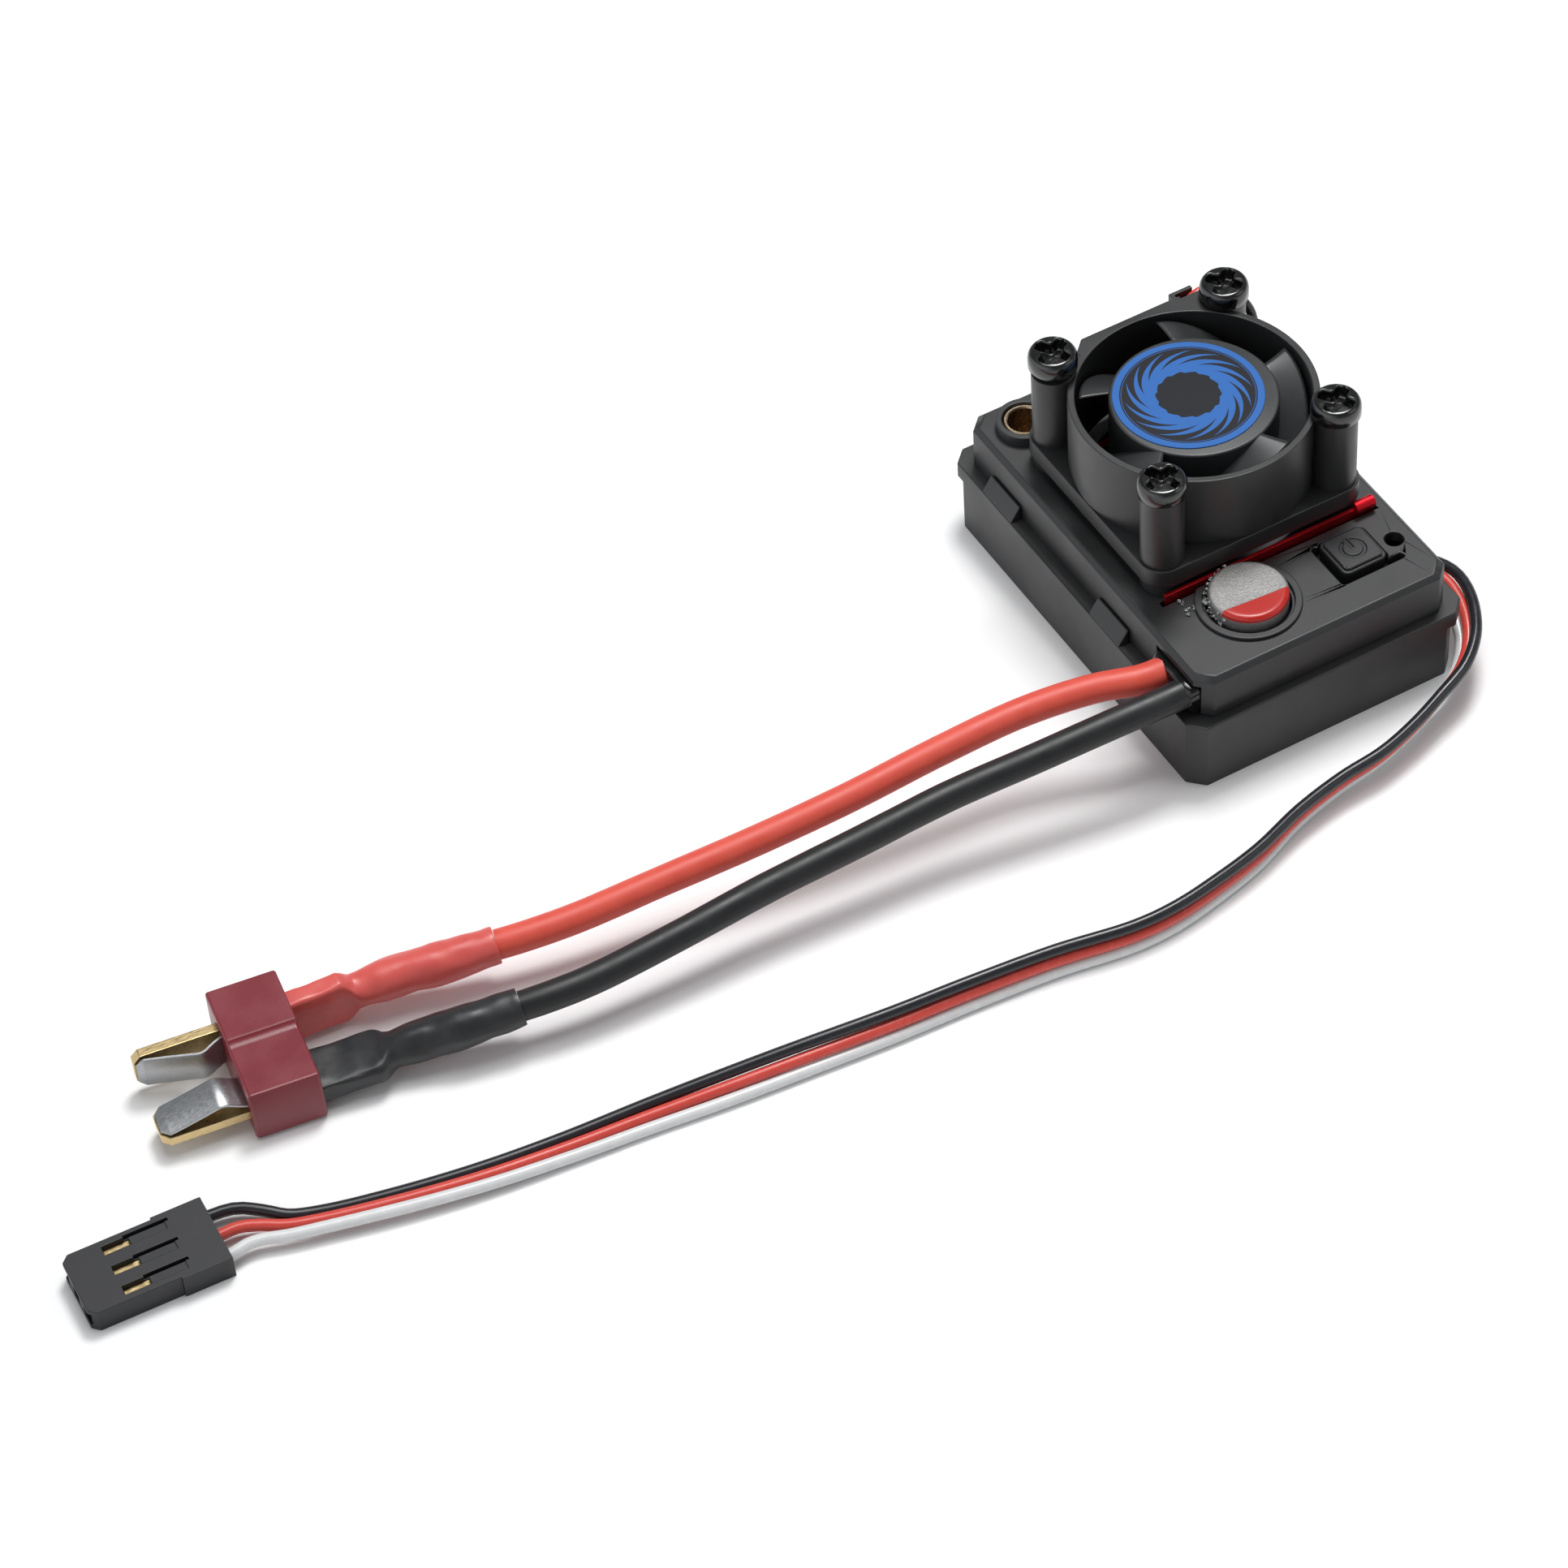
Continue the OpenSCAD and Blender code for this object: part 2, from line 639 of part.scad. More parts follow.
module fan_frame() color("#2b2c2d") {
    difference() {
        union() {
            translate([fan_x, fan_y, fan_z]) round_plate(fan_w, fan_w, plate_r, plate_t);
            translate([fan_x, fan_y, fan_z]) cylinder(h = fan_h, d = shroud_od);
            // posts and the webs that tie them to the shroud
            for (p = fan_corners) {
                translate([p[0], p[1], fan_z]) cylinder(h = post_top - fan_z, d = post_d);
                translate([p[0], p[1], fan_z])
                    rotate([0, 0, atan2(fan_y - p[1], fan_x - p[0])])
                        translate([0, -0.8, 0]) cube([3.4, 1.6, post_top - fan_z - 1.2]);
            }
            // flat back wall, cut at its left end
            translate([fan_x, fan_y, fan_z])
                linear_extrude(fan_h)
                    polygon([
                        [-6.6, 9], [-6.6, fan_w / 2 - 1.4], [-5.2, fan_w / 2],
                        [9.6, fan_w / 2], [9.6, 8]
                    ]);
            // open-topped channel where the fan wires come out
            wire_box_corner() cube(wire_box);
        }
        wire_box_corner() {
            translate([0.5, 0.05, wire_box[2] - wire_channel[2]]) cube(wire_channel + [0, 0, 1]);
            translate([wire_channel[0] - 0.4, 0.05, wire_box[2] - wire_exit])
                cube([3, wire_box[1], wire_exit + 1]);
        }
        translate([fan_x, fan_y, fan_z - 1]) cylinder(h = fan_h + 3, d = shroud_id);
        for (p = fan_corners)
            translate([p[0], p[1], 0]) {
                translate([0, 0, fan_z - 1]) cylinder(h = fan_h + 2, d = screw_hole);
                translate([0, 0, post_top]) cylinder(h = 3, d = head_d + 2 * head_gap);
            }
    }
    // motor seat carried by four struts
    translate([fan_x, fan_y, fan_z]) {
        pipe(spider_d, bearing_d, spider_t);
        pipe(tube_d, bearing_d, tube_top - fan_z);
        for (a = [45 : 90 : 315])
            rotate([0, 0, a]) translate([spider_d / 2 - 0.5, -0.7, 0])
                cube([shroud_id / 2 - spider_d / 2 + 0.6, 1.4, spider_t]);
    }
}

module wire_box_corner()
    translate([fan_x + 5.8, fan_y + fan_w / 2 - 0.4, wire_box_top - wire_box[2]]) children();

module fan_rotor() color("#2f3031") {
    translate([fan_x, fan_y, 0]) {
        difference() {
            translate([0, 0, hub_bottom]) cylinder(h = hub_top - hub_bottom, d = hub_d);
            translate([0, 0, hub_bottom - 1])
                cylinder(h = hub_top - hub_bottom, d = hub_d - 2 * hub_wall);
        }
        translate([0, 0, tube_top + 0.3]) pipe(3.4, shaft_d, hub_top - 1 - tube_top - 0.3 + eps);
        for (i = [0 : blade_count - 1])
            rotate([0, 0, i * 360 / blade_count - blade_sweep])
                translate([0, 0, blade_bottom])
                    linear_extrude(blade_top - blade_bottom, twist = -blade_sweep, slices = 8, segments = 8)
                        translate([hub_d / 2 - 0.4, -blade_t / 2])
                            square([blade_tip_r - hub_d / 2 + 0.4, blade_t]);
    }
}

module fan_magnet_ring() color("#6b6b6f")
    translate([fan_x, fan_y, hub_bottom + 0.2])
        pipe(hub_d - 2 * hub_wall, hub_d - 2 * hub_wall - 2 * magnet_t, 5.2);

module fan_shaft() color("#c9cbd0")
    translate([fan_x, fan_y, fan_z + 1.6]) cylinder(h = hub_top - 1 - fan_z - 1.6, d = shaft_d);

module fan_bearing() color("#b08a50")
    translate([fan_x, fan_y, fan_z + 1]) pipe(bearing_d, shaft_d + 2 * shaft_gap, tube_top - fan_z - 1.2);

module fan_stator() color("#77797d")
    translate([fan_x, fan_y, stator_z]) {
        pipe(7, tube_d, stator_t);
        for (a = [0 : 90 : 270])
            rotate([0, 0, a]) {
                translate([3.2, -0.8, 0]) cube([2.6, 1.6, stator_t]);
                intersection() {
                    pipe(stator_d, stator_d - 1.8, stator_t);
                    translate([4, -2.6, 0]) cube([4, 5.2, stator_t]);
                }
            }
    }

module fan_coils() color("#b4622f")
    translate([fan_x, fan_y, stator_z])
        for (a = [0 : 90 : 270])
            rotate([0, 0, a])
                translate([3.7, 0, 0])
                    difference() {
                        translate([0, -1.4, -0.5]) cube([1.7, 2.8, stator_t + 1]);
                        translate([-1, -0.8, 0]) cube([4, 1.6, stator_t]);
                    }

module fan_circuit_board() color("#225a3a")
    translate([fan_x, fan_y, fan_z + spider_t]) pipe(13.4, tube_d, 0.6);

module fan_label() color("#2f6fc0")
    translate([fan_x + label_shift[0], fan_y + label_shift[1], hub_top]) cylinder(h = label_t, d = 15);

module fan_screws() color("#18191a")
    for (i = [0 : len(fan_corners) - 1])
        translate([fan_corners[i][0], fan_corners[i][1], screw_lift[i]]) {
            translate([0, 0, screw_tip]) cylinder(h = post_top - screw_tip + eps, d = screw_d);
            difference() {
                translate([0, 0, post_top])
                    rotate_extrude()
                        polygon([
                            [0, 0], [head_d / 2, 0], [head_d / 2, 1], [head_d / 2 - 0.15, 1.45],
                            [head_d / 2 - 0.5, 1.8], [head_d / 2 - 0.9, head_h], [0, head_h]
                        ]);
                for (turn = [0, 90])
                    translate([0, 0, post_top + head_h])
                        rotate([0, 0, recess_turn + turn]) cube([3.2, recess_w, 2.4], center = true);
            }
        }

module fan_wire_red() color("#c8372f")
    tube(fan_red_route, fan_wire_d, 8, [1, 0.3, 0]);

module fan_wire_black() color("#1b1c1d")
    tube(fan_black_route, fan_wire_d, 8, [1, 0.3, 0]);

module battery_lead_red() color("#d9473c") tube(red_route, lead_d);

module battery_lead_black() color("#2b2c2e") tube(black_route, lead_d);

module heat_shrink_red() color("#d95550") {
    bar(red_route[len(red_route) - 1], red_sleeve_end, sleeve_d);
    at_tplug() sleeve_mouth(-blade_y, tplug_t / 2, blade_plate_t, blade_w);
}

module heat_shrink_black() color("#252628") {
    bar(black_route[len(black_route) - 1], black_sleeve_end, sleeve_d);
    at_tplug() sleeve_mouth(blade_y, lower_blade_z, blade_w, blade_plate_t);
}

// Flattened end of a sleeve around a solder tab
module sleeve_mouth(y, z, tab_w, tab_h) {
    w = tab_w + 1.4;
    h = tab_h + 1.4;
    difference() {
        translate([-tplug_l / 2 - 6.5, y - w / 2, z - h / 2]) cube([6.5, w, h]);
        translate([-tplug_l / 2 - tab_reach, y - tab_w / 2, z - tab_h / 2])
            cube([tab_reach + 1, tab_w, tab_h]);
    }
}

module tplug_housing() color("#7d2430") {
    half = tplug_w / 2;
    at_tplug()
        difference() {
            translate([-tplug_l / 2, 0, 0])
                rotate([90, 0, 90])
                    linear_extrude(tplug_l)
                        polygon([
                            [-half, 0], [half - 0.4, 0], [half, 0.4], [half, tplug_t * 0.52],
                            [half - 0.7, tplug_t - 0.7], [0.3, tplug_t - 0.7],
                            [-0.4, tplug_t], [-half, tplug_t]
                        ]);
            blade_slots();
        }
}

module blade_slots() {
    translate([-tplug_l, -blade_y - blade_plate_t / 2, tplug_t / 2 - blade_w / 2])
        cube([2 * tplug_l, blade_plate_t, blade_w]);
    translate([-tplug_l, blade_y - blade_w / 2, lower_blade_z - blade_plate_t / 2])
        cube([2 * tplug_l, blade_w, blade_plate_t]);
}

// Blade outline with cut tip corners, lying flat
module blade() {
    from = -tplug_l / 2 - tab_reach;
    to = tplug_l / 2 + blade_reach;
    linear_extrude(blade_plate_t)
        polygon([
            [from, -blade_w / 2], [to - 0.7, -blade_w / 2], [to, -blade_w / 2 + 0.7],
            [to, blade_w / 2 - 0.7], [to - 0.7, blade_w / 2], [from, blade_w / 2]
        ]);
}

module tplug_blades() color("#c9a24a")
    at_tplug() {
        translate([0, -blade_y + blade_plate_t / 2, tplug_t / 2]) rotate([90, 0, 0]) blade();
        translate([0, blade_y, lower_blade_z - blade_plate_t / 2]) blade();
    }

// Bowed strip resting on a blade, drawn along x with its bow upward
module spring() {
    root = tplug_l / 2 + 0.05;
    tip = tplug_l / 2 + blade_reach - 0.3;
    peak = root + 2.3;
    translate([0, spring_w / 2, 0])
        rotate([90, 0, 0])
            linear_extrude(spring_w)
                polygon([
                    [root, 0.5], [peak, spring_bow], [(peak + tip) / 2, spring_bow - 0.45], [tip, 0],
                    [tip, spring_t], [(peak + tip) / 2, spring_bow - 0.45 + spring_t],
                    [peak, spring_bow + spring_t], [root, 0.5 + spring_t]
                ]);
}

module tplug_springs() color("#c4c6ca")
    at_tplug() {
        translate([0, -blade_y + blade_plate_t / 2, tplug_t / 2]) rotate([-90, 0, 0]) spring();
        translate([0, blade_y, lower_blade_z + blade_plate_t / 2]) spring();
    }

module receiver_wire(position)
    tube(shifted(ribbon_route, ribbon_turn, position * ribbon_pitch * ribbon_spread), wire_d);

module receiver_wire_black() color("#26272a") receiver_wire(1);

module receiver_wire_red() color("#cf3f37") receiver_wire(0);

module receiver_wire_white() color("#e4e4e8") receiver_wire(-1);

module receiver_plug() color("#313236")
    at_rxplug()
        difference() {
            linear_extrude(rxplug_t)
                polygon([
                    [-rxplug_l / 2, -rxplug_rear_w / 2], [-rxplug_l / 2 + rxplug_rear_l, -rxplug_rear_w / 2],
                    [-rxplug_l / 2 + rxplug_rear_l, -rxplug_w / 2], [rxplug_l / 2 - 0.7, -rxplug_w / 2],
                    [rxplug_l / 2, -rxplug_w / 2 + 0.7], [rxplug_l / 2, rxplug_w / 2 - 0.7],
                    [rxplug_l / 2 - 0.7, rxplug_w / 2], [-rxplug_l / 2 + rxplug_rear_l, rxplug_w / 2],
                    [-rxplug_l / 2 + rxplug_rear_l, rxplug_rear_w / 2], [-rxplug_l / 2, rxplug_rear_w / 2]
                ]);
            for (i = [-1 : 1])
                translate([0, i * contact_pitch, 0]) {
                    // contact cavity with the pin entry, then the window over it
                    translate([-1.5, -0.7, 0.6]) cube([rxplug_l, 1.4, 1.5]);
                    translate([latch_tip, -latch_w / 2, 1]) cube([latch_window, latch_w, rxplug_t]);
                    // latch tongue, sunk a little, and the slot beside it
                    translate([latch_tip - latch_l, -latch_w / 2, rxplug_t - latch_sink])
                        cube([latch_l + 0.1, latch_w, 1]);
                    translate([latch_tip - latch_l - 0.4, -latch_w / 2 - latch_slot, rxplug_t - 0.5])
                        cube([latch_l + 0.8, latch_slot + 0.05, 1]);
                }
        }

module receiver_contacts() color("#c8b27a")
    at_rxplug()
        for (i = [-1 : 1])
            translate([-1.5, i * contact_pitch - 0.6, 0.65])
                difference() {
                    cube([6.2, 1.2, 1.4]);
                    translate([1, 0.3, 0.3]) cube([6, 0.6, 0.8]);
                }

bottom_case();
top_cover();
heat_sink();
thermal_pad();
power_board();
power_transistors();
driver_chips();
control_board();
controller_chip();
board_pins();
button_switch();
switch_plunger();
power_button();
status_led();
capacitor_can();
capacitor_seal();
capacitor_legs();
capacitor_glue();
motor_sockets();
battery_terminals();
lead_seal();
receiver_header();
receiver_lead_seal();
fan_frame();
fan_rotor();
fan_magnet_ring();
fan_shaft();
fan_bearing();
fan_stator();
fan_coils();
fan_circuit_board();
fan_label();
fan_screws();
fan_wire_red();
fan_wire_black();
battery_lead_red();
battery_lead_black();
heat_shrink_red();
heat_shrink_black();
tplug_housing();
tplug_blades();
tplug_springs();
receiver_wire_black();
receiver_wire_red();
receiver_wire_white();
receiver_plug();
receiver_contacts();
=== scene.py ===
from math import cos, pi, radians, sin

import bmesh
import bpy
import numpy as np
from mathutils import Matrix, Vector, noise


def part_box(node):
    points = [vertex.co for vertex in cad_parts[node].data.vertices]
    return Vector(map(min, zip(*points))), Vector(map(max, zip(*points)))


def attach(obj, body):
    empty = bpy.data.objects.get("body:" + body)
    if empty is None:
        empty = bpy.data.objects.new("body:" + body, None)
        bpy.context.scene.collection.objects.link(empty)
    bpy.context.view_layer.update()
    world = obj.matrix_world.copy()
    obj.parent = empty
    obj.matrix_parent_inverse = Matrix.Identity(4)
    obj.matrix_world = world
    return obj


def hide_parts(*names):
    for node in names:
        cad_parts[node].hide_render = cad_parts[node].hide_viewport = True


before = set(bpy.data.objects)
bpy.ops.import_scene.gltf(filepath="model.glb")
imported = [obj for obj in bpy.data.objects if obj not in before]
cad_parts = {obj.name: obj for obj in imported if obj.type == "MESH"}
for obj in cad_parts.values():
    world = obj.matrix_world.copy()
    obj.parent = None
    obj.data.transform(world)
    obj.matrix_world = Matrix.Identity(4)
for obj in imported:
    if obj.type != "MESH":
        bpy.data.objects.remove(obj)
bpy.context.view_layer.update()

mm = 0.001


def middle(node):
    low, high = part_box(node)
    return (low + high) / 2


def linear(hexCode):
    # sRGB hex colour to the linear values that shaders take
    parts = [int(hexCode[i:i + 2], 16) / 255 for i in (1, 3, 5)]
    return [p / 12.92 if p <= 0.04045 else ((p + 0.055) / 1.055) ** 2.4 for p in parts] + [1.0]


def addNode(tree, kind, inputs=None, **settings):
    # one node with its settings, its constants and its incoming links
    node = tree.nodes.new(kind)
    for key, value in settings.items():
        setattr(node, key, value)
    for socket, value in (inputs or {}).items():
        if isinstance(value, bpy.types.NodeSocket):
            tree.links.new(value, node.inputs[socket])
        else:
            node.inputs[socket].default_value = value
    return node


def newFinish(name, hexCode, **sockets):
    # a material, its node tree, its shader and the object's own coordinates in metres
    finish = bpy.data.materials.new(name)
    finish.use_nodes = True
    tree = finish.node_tree
    tree.nodes.clear()
    shader = addNode(tree, "ShaderNodeBsdfPrincipled", {"Base Color": linear(hexCode)})
    for socket, value in sockets.items():
        shader.inputs[socket.replace("_", " ")].default_value = value
    addNode(tree, "ShaderNodeOutputMaterial", {"Surface": shader.outputs[0]})
    place = addNode(tree, "ShaderNodeTexCoord").outputs["Object"]
    return finish, tree, shader, place


def dress(tree, shader, look, pattern, relief):
    # colour follows the pattern from dark to light, and so does gloss where it has two ends
    tint = addNode(tree, "ShaderNodeMix", {
        0: pattern, 6: linear(look["dark"]), 7: linear(look["light"]),
    }, data_type="RGBA")
    tree.links.new(tint.outputs[2], shader.inputs["Base Color"])
    tree.links.new(relief.outputs[0], shader.inputs["Normal"])
    if isinstance(look["gloss"], tuple):
        gloss = addNode(tree, "ShaderNodeMapRange", {
            "Value": pattern, "From Min": 0.3, "From Max": 0.7,
            "To Min": look["gloss"][0], "To Max": look["gloss"][1],
        })
        tree.links.new(gloss.outputs[0], shader.inputs["Roughness"])


# Camera, table and lights

cameraView = {
    "lens": 121.12,
    "turn": -26.32,      # degrees round the object from straight ahead
    "height": 47.95,     # degrees above the table
    "roll": -4.6,
    "aim": (-49.36, -0.49, 0),
    "distance": 519.1,
}


def placeCamera():
    turn, tilt, roll = (radians(cameraView[key]) for key in ("turn", "height", "roll"))
    back = Vector((sin(turn) * cos(tilt), -cos(turn) * cos(tilt), sin(tilt)))
    right = Vector((cos(turn), sin(turn), 0))
    up = back.cross(right)
    across = right * cos(roll) + up * sin(roll)
    upright = up * cos(roll) - right * sin(roll)
    eye = (Vector(cameraView["aim"]) + back * cameraView["distance"]) * mm
    data = bpy.data.cameras.new("studioCamera")
    data.lens = cameraView["lens"]
    data.clip_start = 0.01
    camera = bpy.data.objects.new("studioCamera", data)
    camera.matrix_world = Matrix.Translation(eye) @ Matrix((across, upright, back)).transposed().to_4x4()
    bpy.context.scene.collection.objects.link(camera)
    bpy.context.scene.camera = camera


table = {"size": 4.0, "colour": "#f1f1f1", "gloss": (0.5, 0.6), "patch": 25.0}  # size in m, patch in mm


def layTable():
    # plain pale board, faintly uneven in gloss as painted card is
    finish, tree, shader, place = newFinish("paintedCard", table["colour"])
    cloud = addNode(tree, "ShaderNodeTexNoise", {
        "Vector": place, "Scale": 1 / (table["patch"] * mm), "Detail": 2.0,
    }).outputs[0]
    gloss = addNode(tree, "ShaderNodeMapRange", {
        "Value": cloud, "To Min": table["gloss"][0], "To Max": table["gloss"][1],
    })
    tree.links.new(gloss.outputs[0], shader.inputs["Roughness"])
    half = table["size"] / 2
    mesh = bpy.data.meshes.new("table")
    corners = [(-half, -half, 0), (half, -half, 0), (half, half, 0), (-half, half, 0)]
    mesh.from_pydata(corners, [], [(0, 1, 2, 3)])
    mesh.materials.append(finish)
    board = bpy.data.objects.new("table", mesh)
    bpy.context.scene.collection.objects.link(board)


# where each softbox stands, how wide it is and how bright, in metres and watts
softboxes = {
    "keyBox": {"at": (0.2, 0.2, 0.72), "size": 0.24, "power": 3.4},
    "topBox": {"at": (0.05, 0.1, 0.95), "size": 0.6, "power": 4.0},
    "sideBox": {"at": (0.5, -0.4, 0.45), "size": 0.5, "power": 0.5},
}
lightAim = (-0.045, -0.005, 0)  # middle of the object on the table
# the room: dim overhead, paler walls, and a wide pale window on the left; heights and
# sideways directions run from -1 to 1, and the window fades out between its two
roomLight = {
    "colour": "#eef1f4", "overhead": 0.2, "walls": 0.5, "ceiling": 0.7,
    "window": 1.1, "windowFrom": -0.9, "windowTo": -0.4,
}


def hangLights():
    target = Vector(lightAim)
    for name, box in softboxes.items():
        data = bpy.data.lights.new(name, "AREA")
        data.shape = "DISK"
        data.size = box["size"]
        data.energy = box["power"]
        lamp = bpy.data.objects.new(name, data)
        lamp.location = box["at"]
        lamp.rotation_euler = (target - lamp.location).to_track_quat("-Z", "Y").to_euler()
        bpy.context.scene.collection.objects.link(lamp)
    world = bpy.data.worlds.new("paleRoom")
    world.use_nodes = True
    backdrop = world.node_tree.nodes["Background"]
    backdrop.inputs["Color"].default_value = linear(roomLight["colour"])
    tree = world.node_tree
    facing = addNode(tree, "ShaderNodeTexCoord").outputs["Generated"]
    axes = addNode(tree, "ShaderNodeSeparateXYZ", {0: facing})
    walls = addNode(tree, "ShaderNodeMapRange", {
        "Value": axes.outputs["Z"], "From Max": roomLight["ceiling"],
        "To Min": roomLight["walls"], "To Max": roomLight["overhead"],
    }).outputs[0]
    window = addNode(tree, "ShaderNodeMapRange", {
        "Value": axes.outputs["X"], "From Min": roomLight["windowFrom"], "From Max": roomLight["windowTo"],
        "To Min": roomLight["window"], "To Max": 0.0,
    }).outputs[0]
    glow = addNode(tree, "ShaderNodeMath", {0: walls, 1: window}, operation="ADD").outputs[0]
    tree.links.new(glow, backdrop.inputs["Strength"])
    bpy.context.scene.world = world
    bpy.context.scene.view_settings.view_transform = "Standard"


placeCamera()
layTable()
hangLights()
print("camera, table and lights are up")


# Finishes

# Injection-moulded plastics: the spark-eroded mould leaves a fine satin grain, and the
# melt's flow leaves wide patches that are a little glossier. Real grain is near 0.05 mm,
# drawn coarser so that it shows.
mouldedPlastics = {
    "grainedNylon": dict(dark="#1c1d1e", light="#262728", grain=0.16, depth=0.01, gloss=(0.40, 0.52)),
    "coverNylon": dict(dark="#1b1c1d", light="#252627", grain=0.16, depth=0.01, gloss=(0.38, 0.50)),
    "fanPolyester": dict(dark="#1a1b1c", light="#222324", grain=0.13, depth=0.006, gloss=(0.34, 0.46)),
    "bladePolyester": dict(dark="#242627", light="#303233", grain=0.13, depth=0.006, gloss=(0.34, 0.44)),
    "buttonNylon": dict(dark="#151617", light="#1d1e20", grain=0.14, depth=0.01, gloss=(0.42, 0.55)),
    "plugNylon": dict(dark="#70222b", light="#842f38", grain=0.5, depth=0.012, gloss=(0.26, 0.38)),
    "receiverNylon": dict(dark="#0e0f12", light="#141519", grain=0.14, depth=0.008, gloss=(0.42, 0.54)),
    "headerNylon": dict(dark="#cfcab8", light="#e0dccd", grain=0.3, depth=0.008, gloss=(0.35, 0.45)),
    "switchNylon": dict(dark="#1c1c1e", light="#252527", grain=0.2, depth=0.008, gloss=(0.40, 0.50)),
    "plungerNylon": dict(dark="#5e431f", light="#6d5028", grain=0.2, depth=0.008, gloss=(0.35, 0.45)),
    "chipEpoxy": dict(dark="#131416", light="#1b1c1e", grain=0.12, depth=0.012, gloss=(0.55, 0.68)),
}
flowPatch = 6.0  # width of the glossier patches, mm


def mouldedPlastic(name):
    look = mouldedPlastics[name]
    finish, tree, shader, place = newFinish(name, look["dark"], IOR=1.53)
    flow = addNode(tree, "ShaderNodeTexNoise", {
        "Vector": place, "Scale": 1 / (flowPatch * mm), "Detail": 3.0,
    }).outputs[0]
    grain = addNode(tree, "ShaderNodeTexNoise", {
        "Vector": place, "Scale": 1 / (look["grain"] * mm), "Detail": 2.0, "Roughness": 0.6,
    }).outputs[0]
    relief = addNode(tree, "ShaderNodeBump", {
        "Height": grain, "Strength": 0.6, "Distance": look["depth"] * mm,
    })
    dress(tree, shader, look, flow, relief)
    return finish


# Flexible skins: soft lead insulation has a dry satin sheen with faint drawing lines along
# it, heat-shrunk sleeve is glossier with slack ripples, and thin wire insulation is smooth.
flexibleSkins = {
    "redSilicone": dict(dark="#cf4a3c", light="#dd5a4b", ripple=2.2, depth=0.02, gloss=(0.38, 0.50)),
    "blackSilicone": dict(dark="#1b1c1d", light="#252627", ripple=2.2, depth=0.02, gloss=(0.36, 0.48)),
    "redShrink": dict(dark="#c8504a", light="#d6605a", ripple=1.6, depth=0.035, gloss=(0.28, 0.38)),
    "blackShrink": dict(dark="#242526", light="#2e2f31", ripple=1.6, depth=0.035, gloss=(0.30, 0.42)),
    "blackVinyl": dict(dark="#1f1f23", light="#292a2e", ripple=1.2, depth=0.008, gloss=(0.20, 0.30)),
    "redVinyl": dict(dark="#c4433a", light="#d35248", ripple=1.2, depth=0.008, gloss=(0.20, 0.30)),
    "whiteVinyl": dict(dark="#cdcdcd", light="#dcdcdc", ripple=1.2, depth=0.008, gloss=(0.20, 0.30)),
}
# the die's lines are 0.02 mm apart in truth, drawn coarser so that they show; all in mm
dieLine = {"apart": 0.15, "long": 9.0, "depth": 0.004}


def flexibleSkin(name):
    look = flexibleSkins[name]
    finish, tree, shader, place = newFinish(name, look["dark"], IOR=1.45)
    ripple = addNode(tree, "ShaderNodeTexNoise", {
        "Vector": place, "Scale": 1 / (look["ripple"] * mm), "Detail": 3.0, "Roughness": 0.55,
    }).outputs[0]
    along = addNode(tree, "ShaderNodeUVMap", uv_map="skin").outputs[0]
    stretch = addNode(tree, "ShaderNodeMapping", {
        "Vector": along, "Scale": (1 / (dieLine["apart"] * mm), 1 / (dieLine["long"] * mm), 1.0),
    }).outputs[0]
    lines = addNode(tree, "ShaderNodeTexNoise", {"Vector": stretch, "Scale": 1.0, "Detail": 1.0}).outputs[0]
    waves = addNode(tree, "ShaderNodeBump", {
        "Height": ripple, "Strength": 0.7, "Distance": look["depth"] * mm,
    }).outputs[0]
    relief = addNode(tree, "ShaderNodeBump", {
        "Height": lines, "Normal": waves, "Strength": 0.4, "Distance": dieLine["depth"] * mm,
    })
    dress(tree, shader, look, ripple, relief)
    return finish


# Metals: each has its own drawing direction, whose fine lines stretch the highlights.
# "lines" is the stretch of the pattern along x, y and z. Real lines are near 0.03 mm apart,
# drawn coarser so that they show.
metals = {
    "redAnodisedExtrusion": dict(dark="#b5151f", light="#e02a34", gloss=(0.34, 0.46), lines=(12, 1, 1)),
    "goldFlashedBrass": dict(dark="#bfa270", light="#e4cf9f", gloss=(0.26, 0.40), lines=(6, 1, 1)),
    "tinnedSpringSteel": dict(dark="#a0a2a4", light="#c2c4c6", gloss=(0.34, 0.46), lines=(8, 1, 1)),
    "turnedBrass": dict(dark="#b39a7c", light="#d2bda2", gloss=(0.20, 0.34), lines=(1, 1, 5)),
    "drawnSteel": dict(dark="#b7b9bd", light="#d0d2d6", gloss=(0.14, 0.24), lines=(1, 1, 6)),
    "sinteredBronze": dict(dark="#7d5a31", light="#97703f", gloss=(0.38, 0.52), lines=(1, 1, 1)),
    "laminatedSteel": dict(dark="#55575b", light="#7b7d81", gloss=(0.34, 0.48), lines=(1, 1, 0.08)),
    "enamelledCopper": dict(dark="#7d3513", light="#a9501f", gloss=(0.18, 0.28), lines=(1, 1, 0.1)),
    "sinteredMagnet": dict(dark="#2c2c2f", light="#424246", gloss=(0.45, 0.60), lines=(1, 1, 1)),
    "tinnedWire": dict(dark="#9d9fa2", light="#c4c6c8", gloss=(0.20, 0.32), lines=(1, 1, 5)),
    "bareCopper": dict(dark="#8b4a2a", light="#b56a41", gloss=(0.24, 0.36), lines=(1, 1, 1)),
}
metalLine = {"apart": 0.12, "depth": 0.004}  # mm


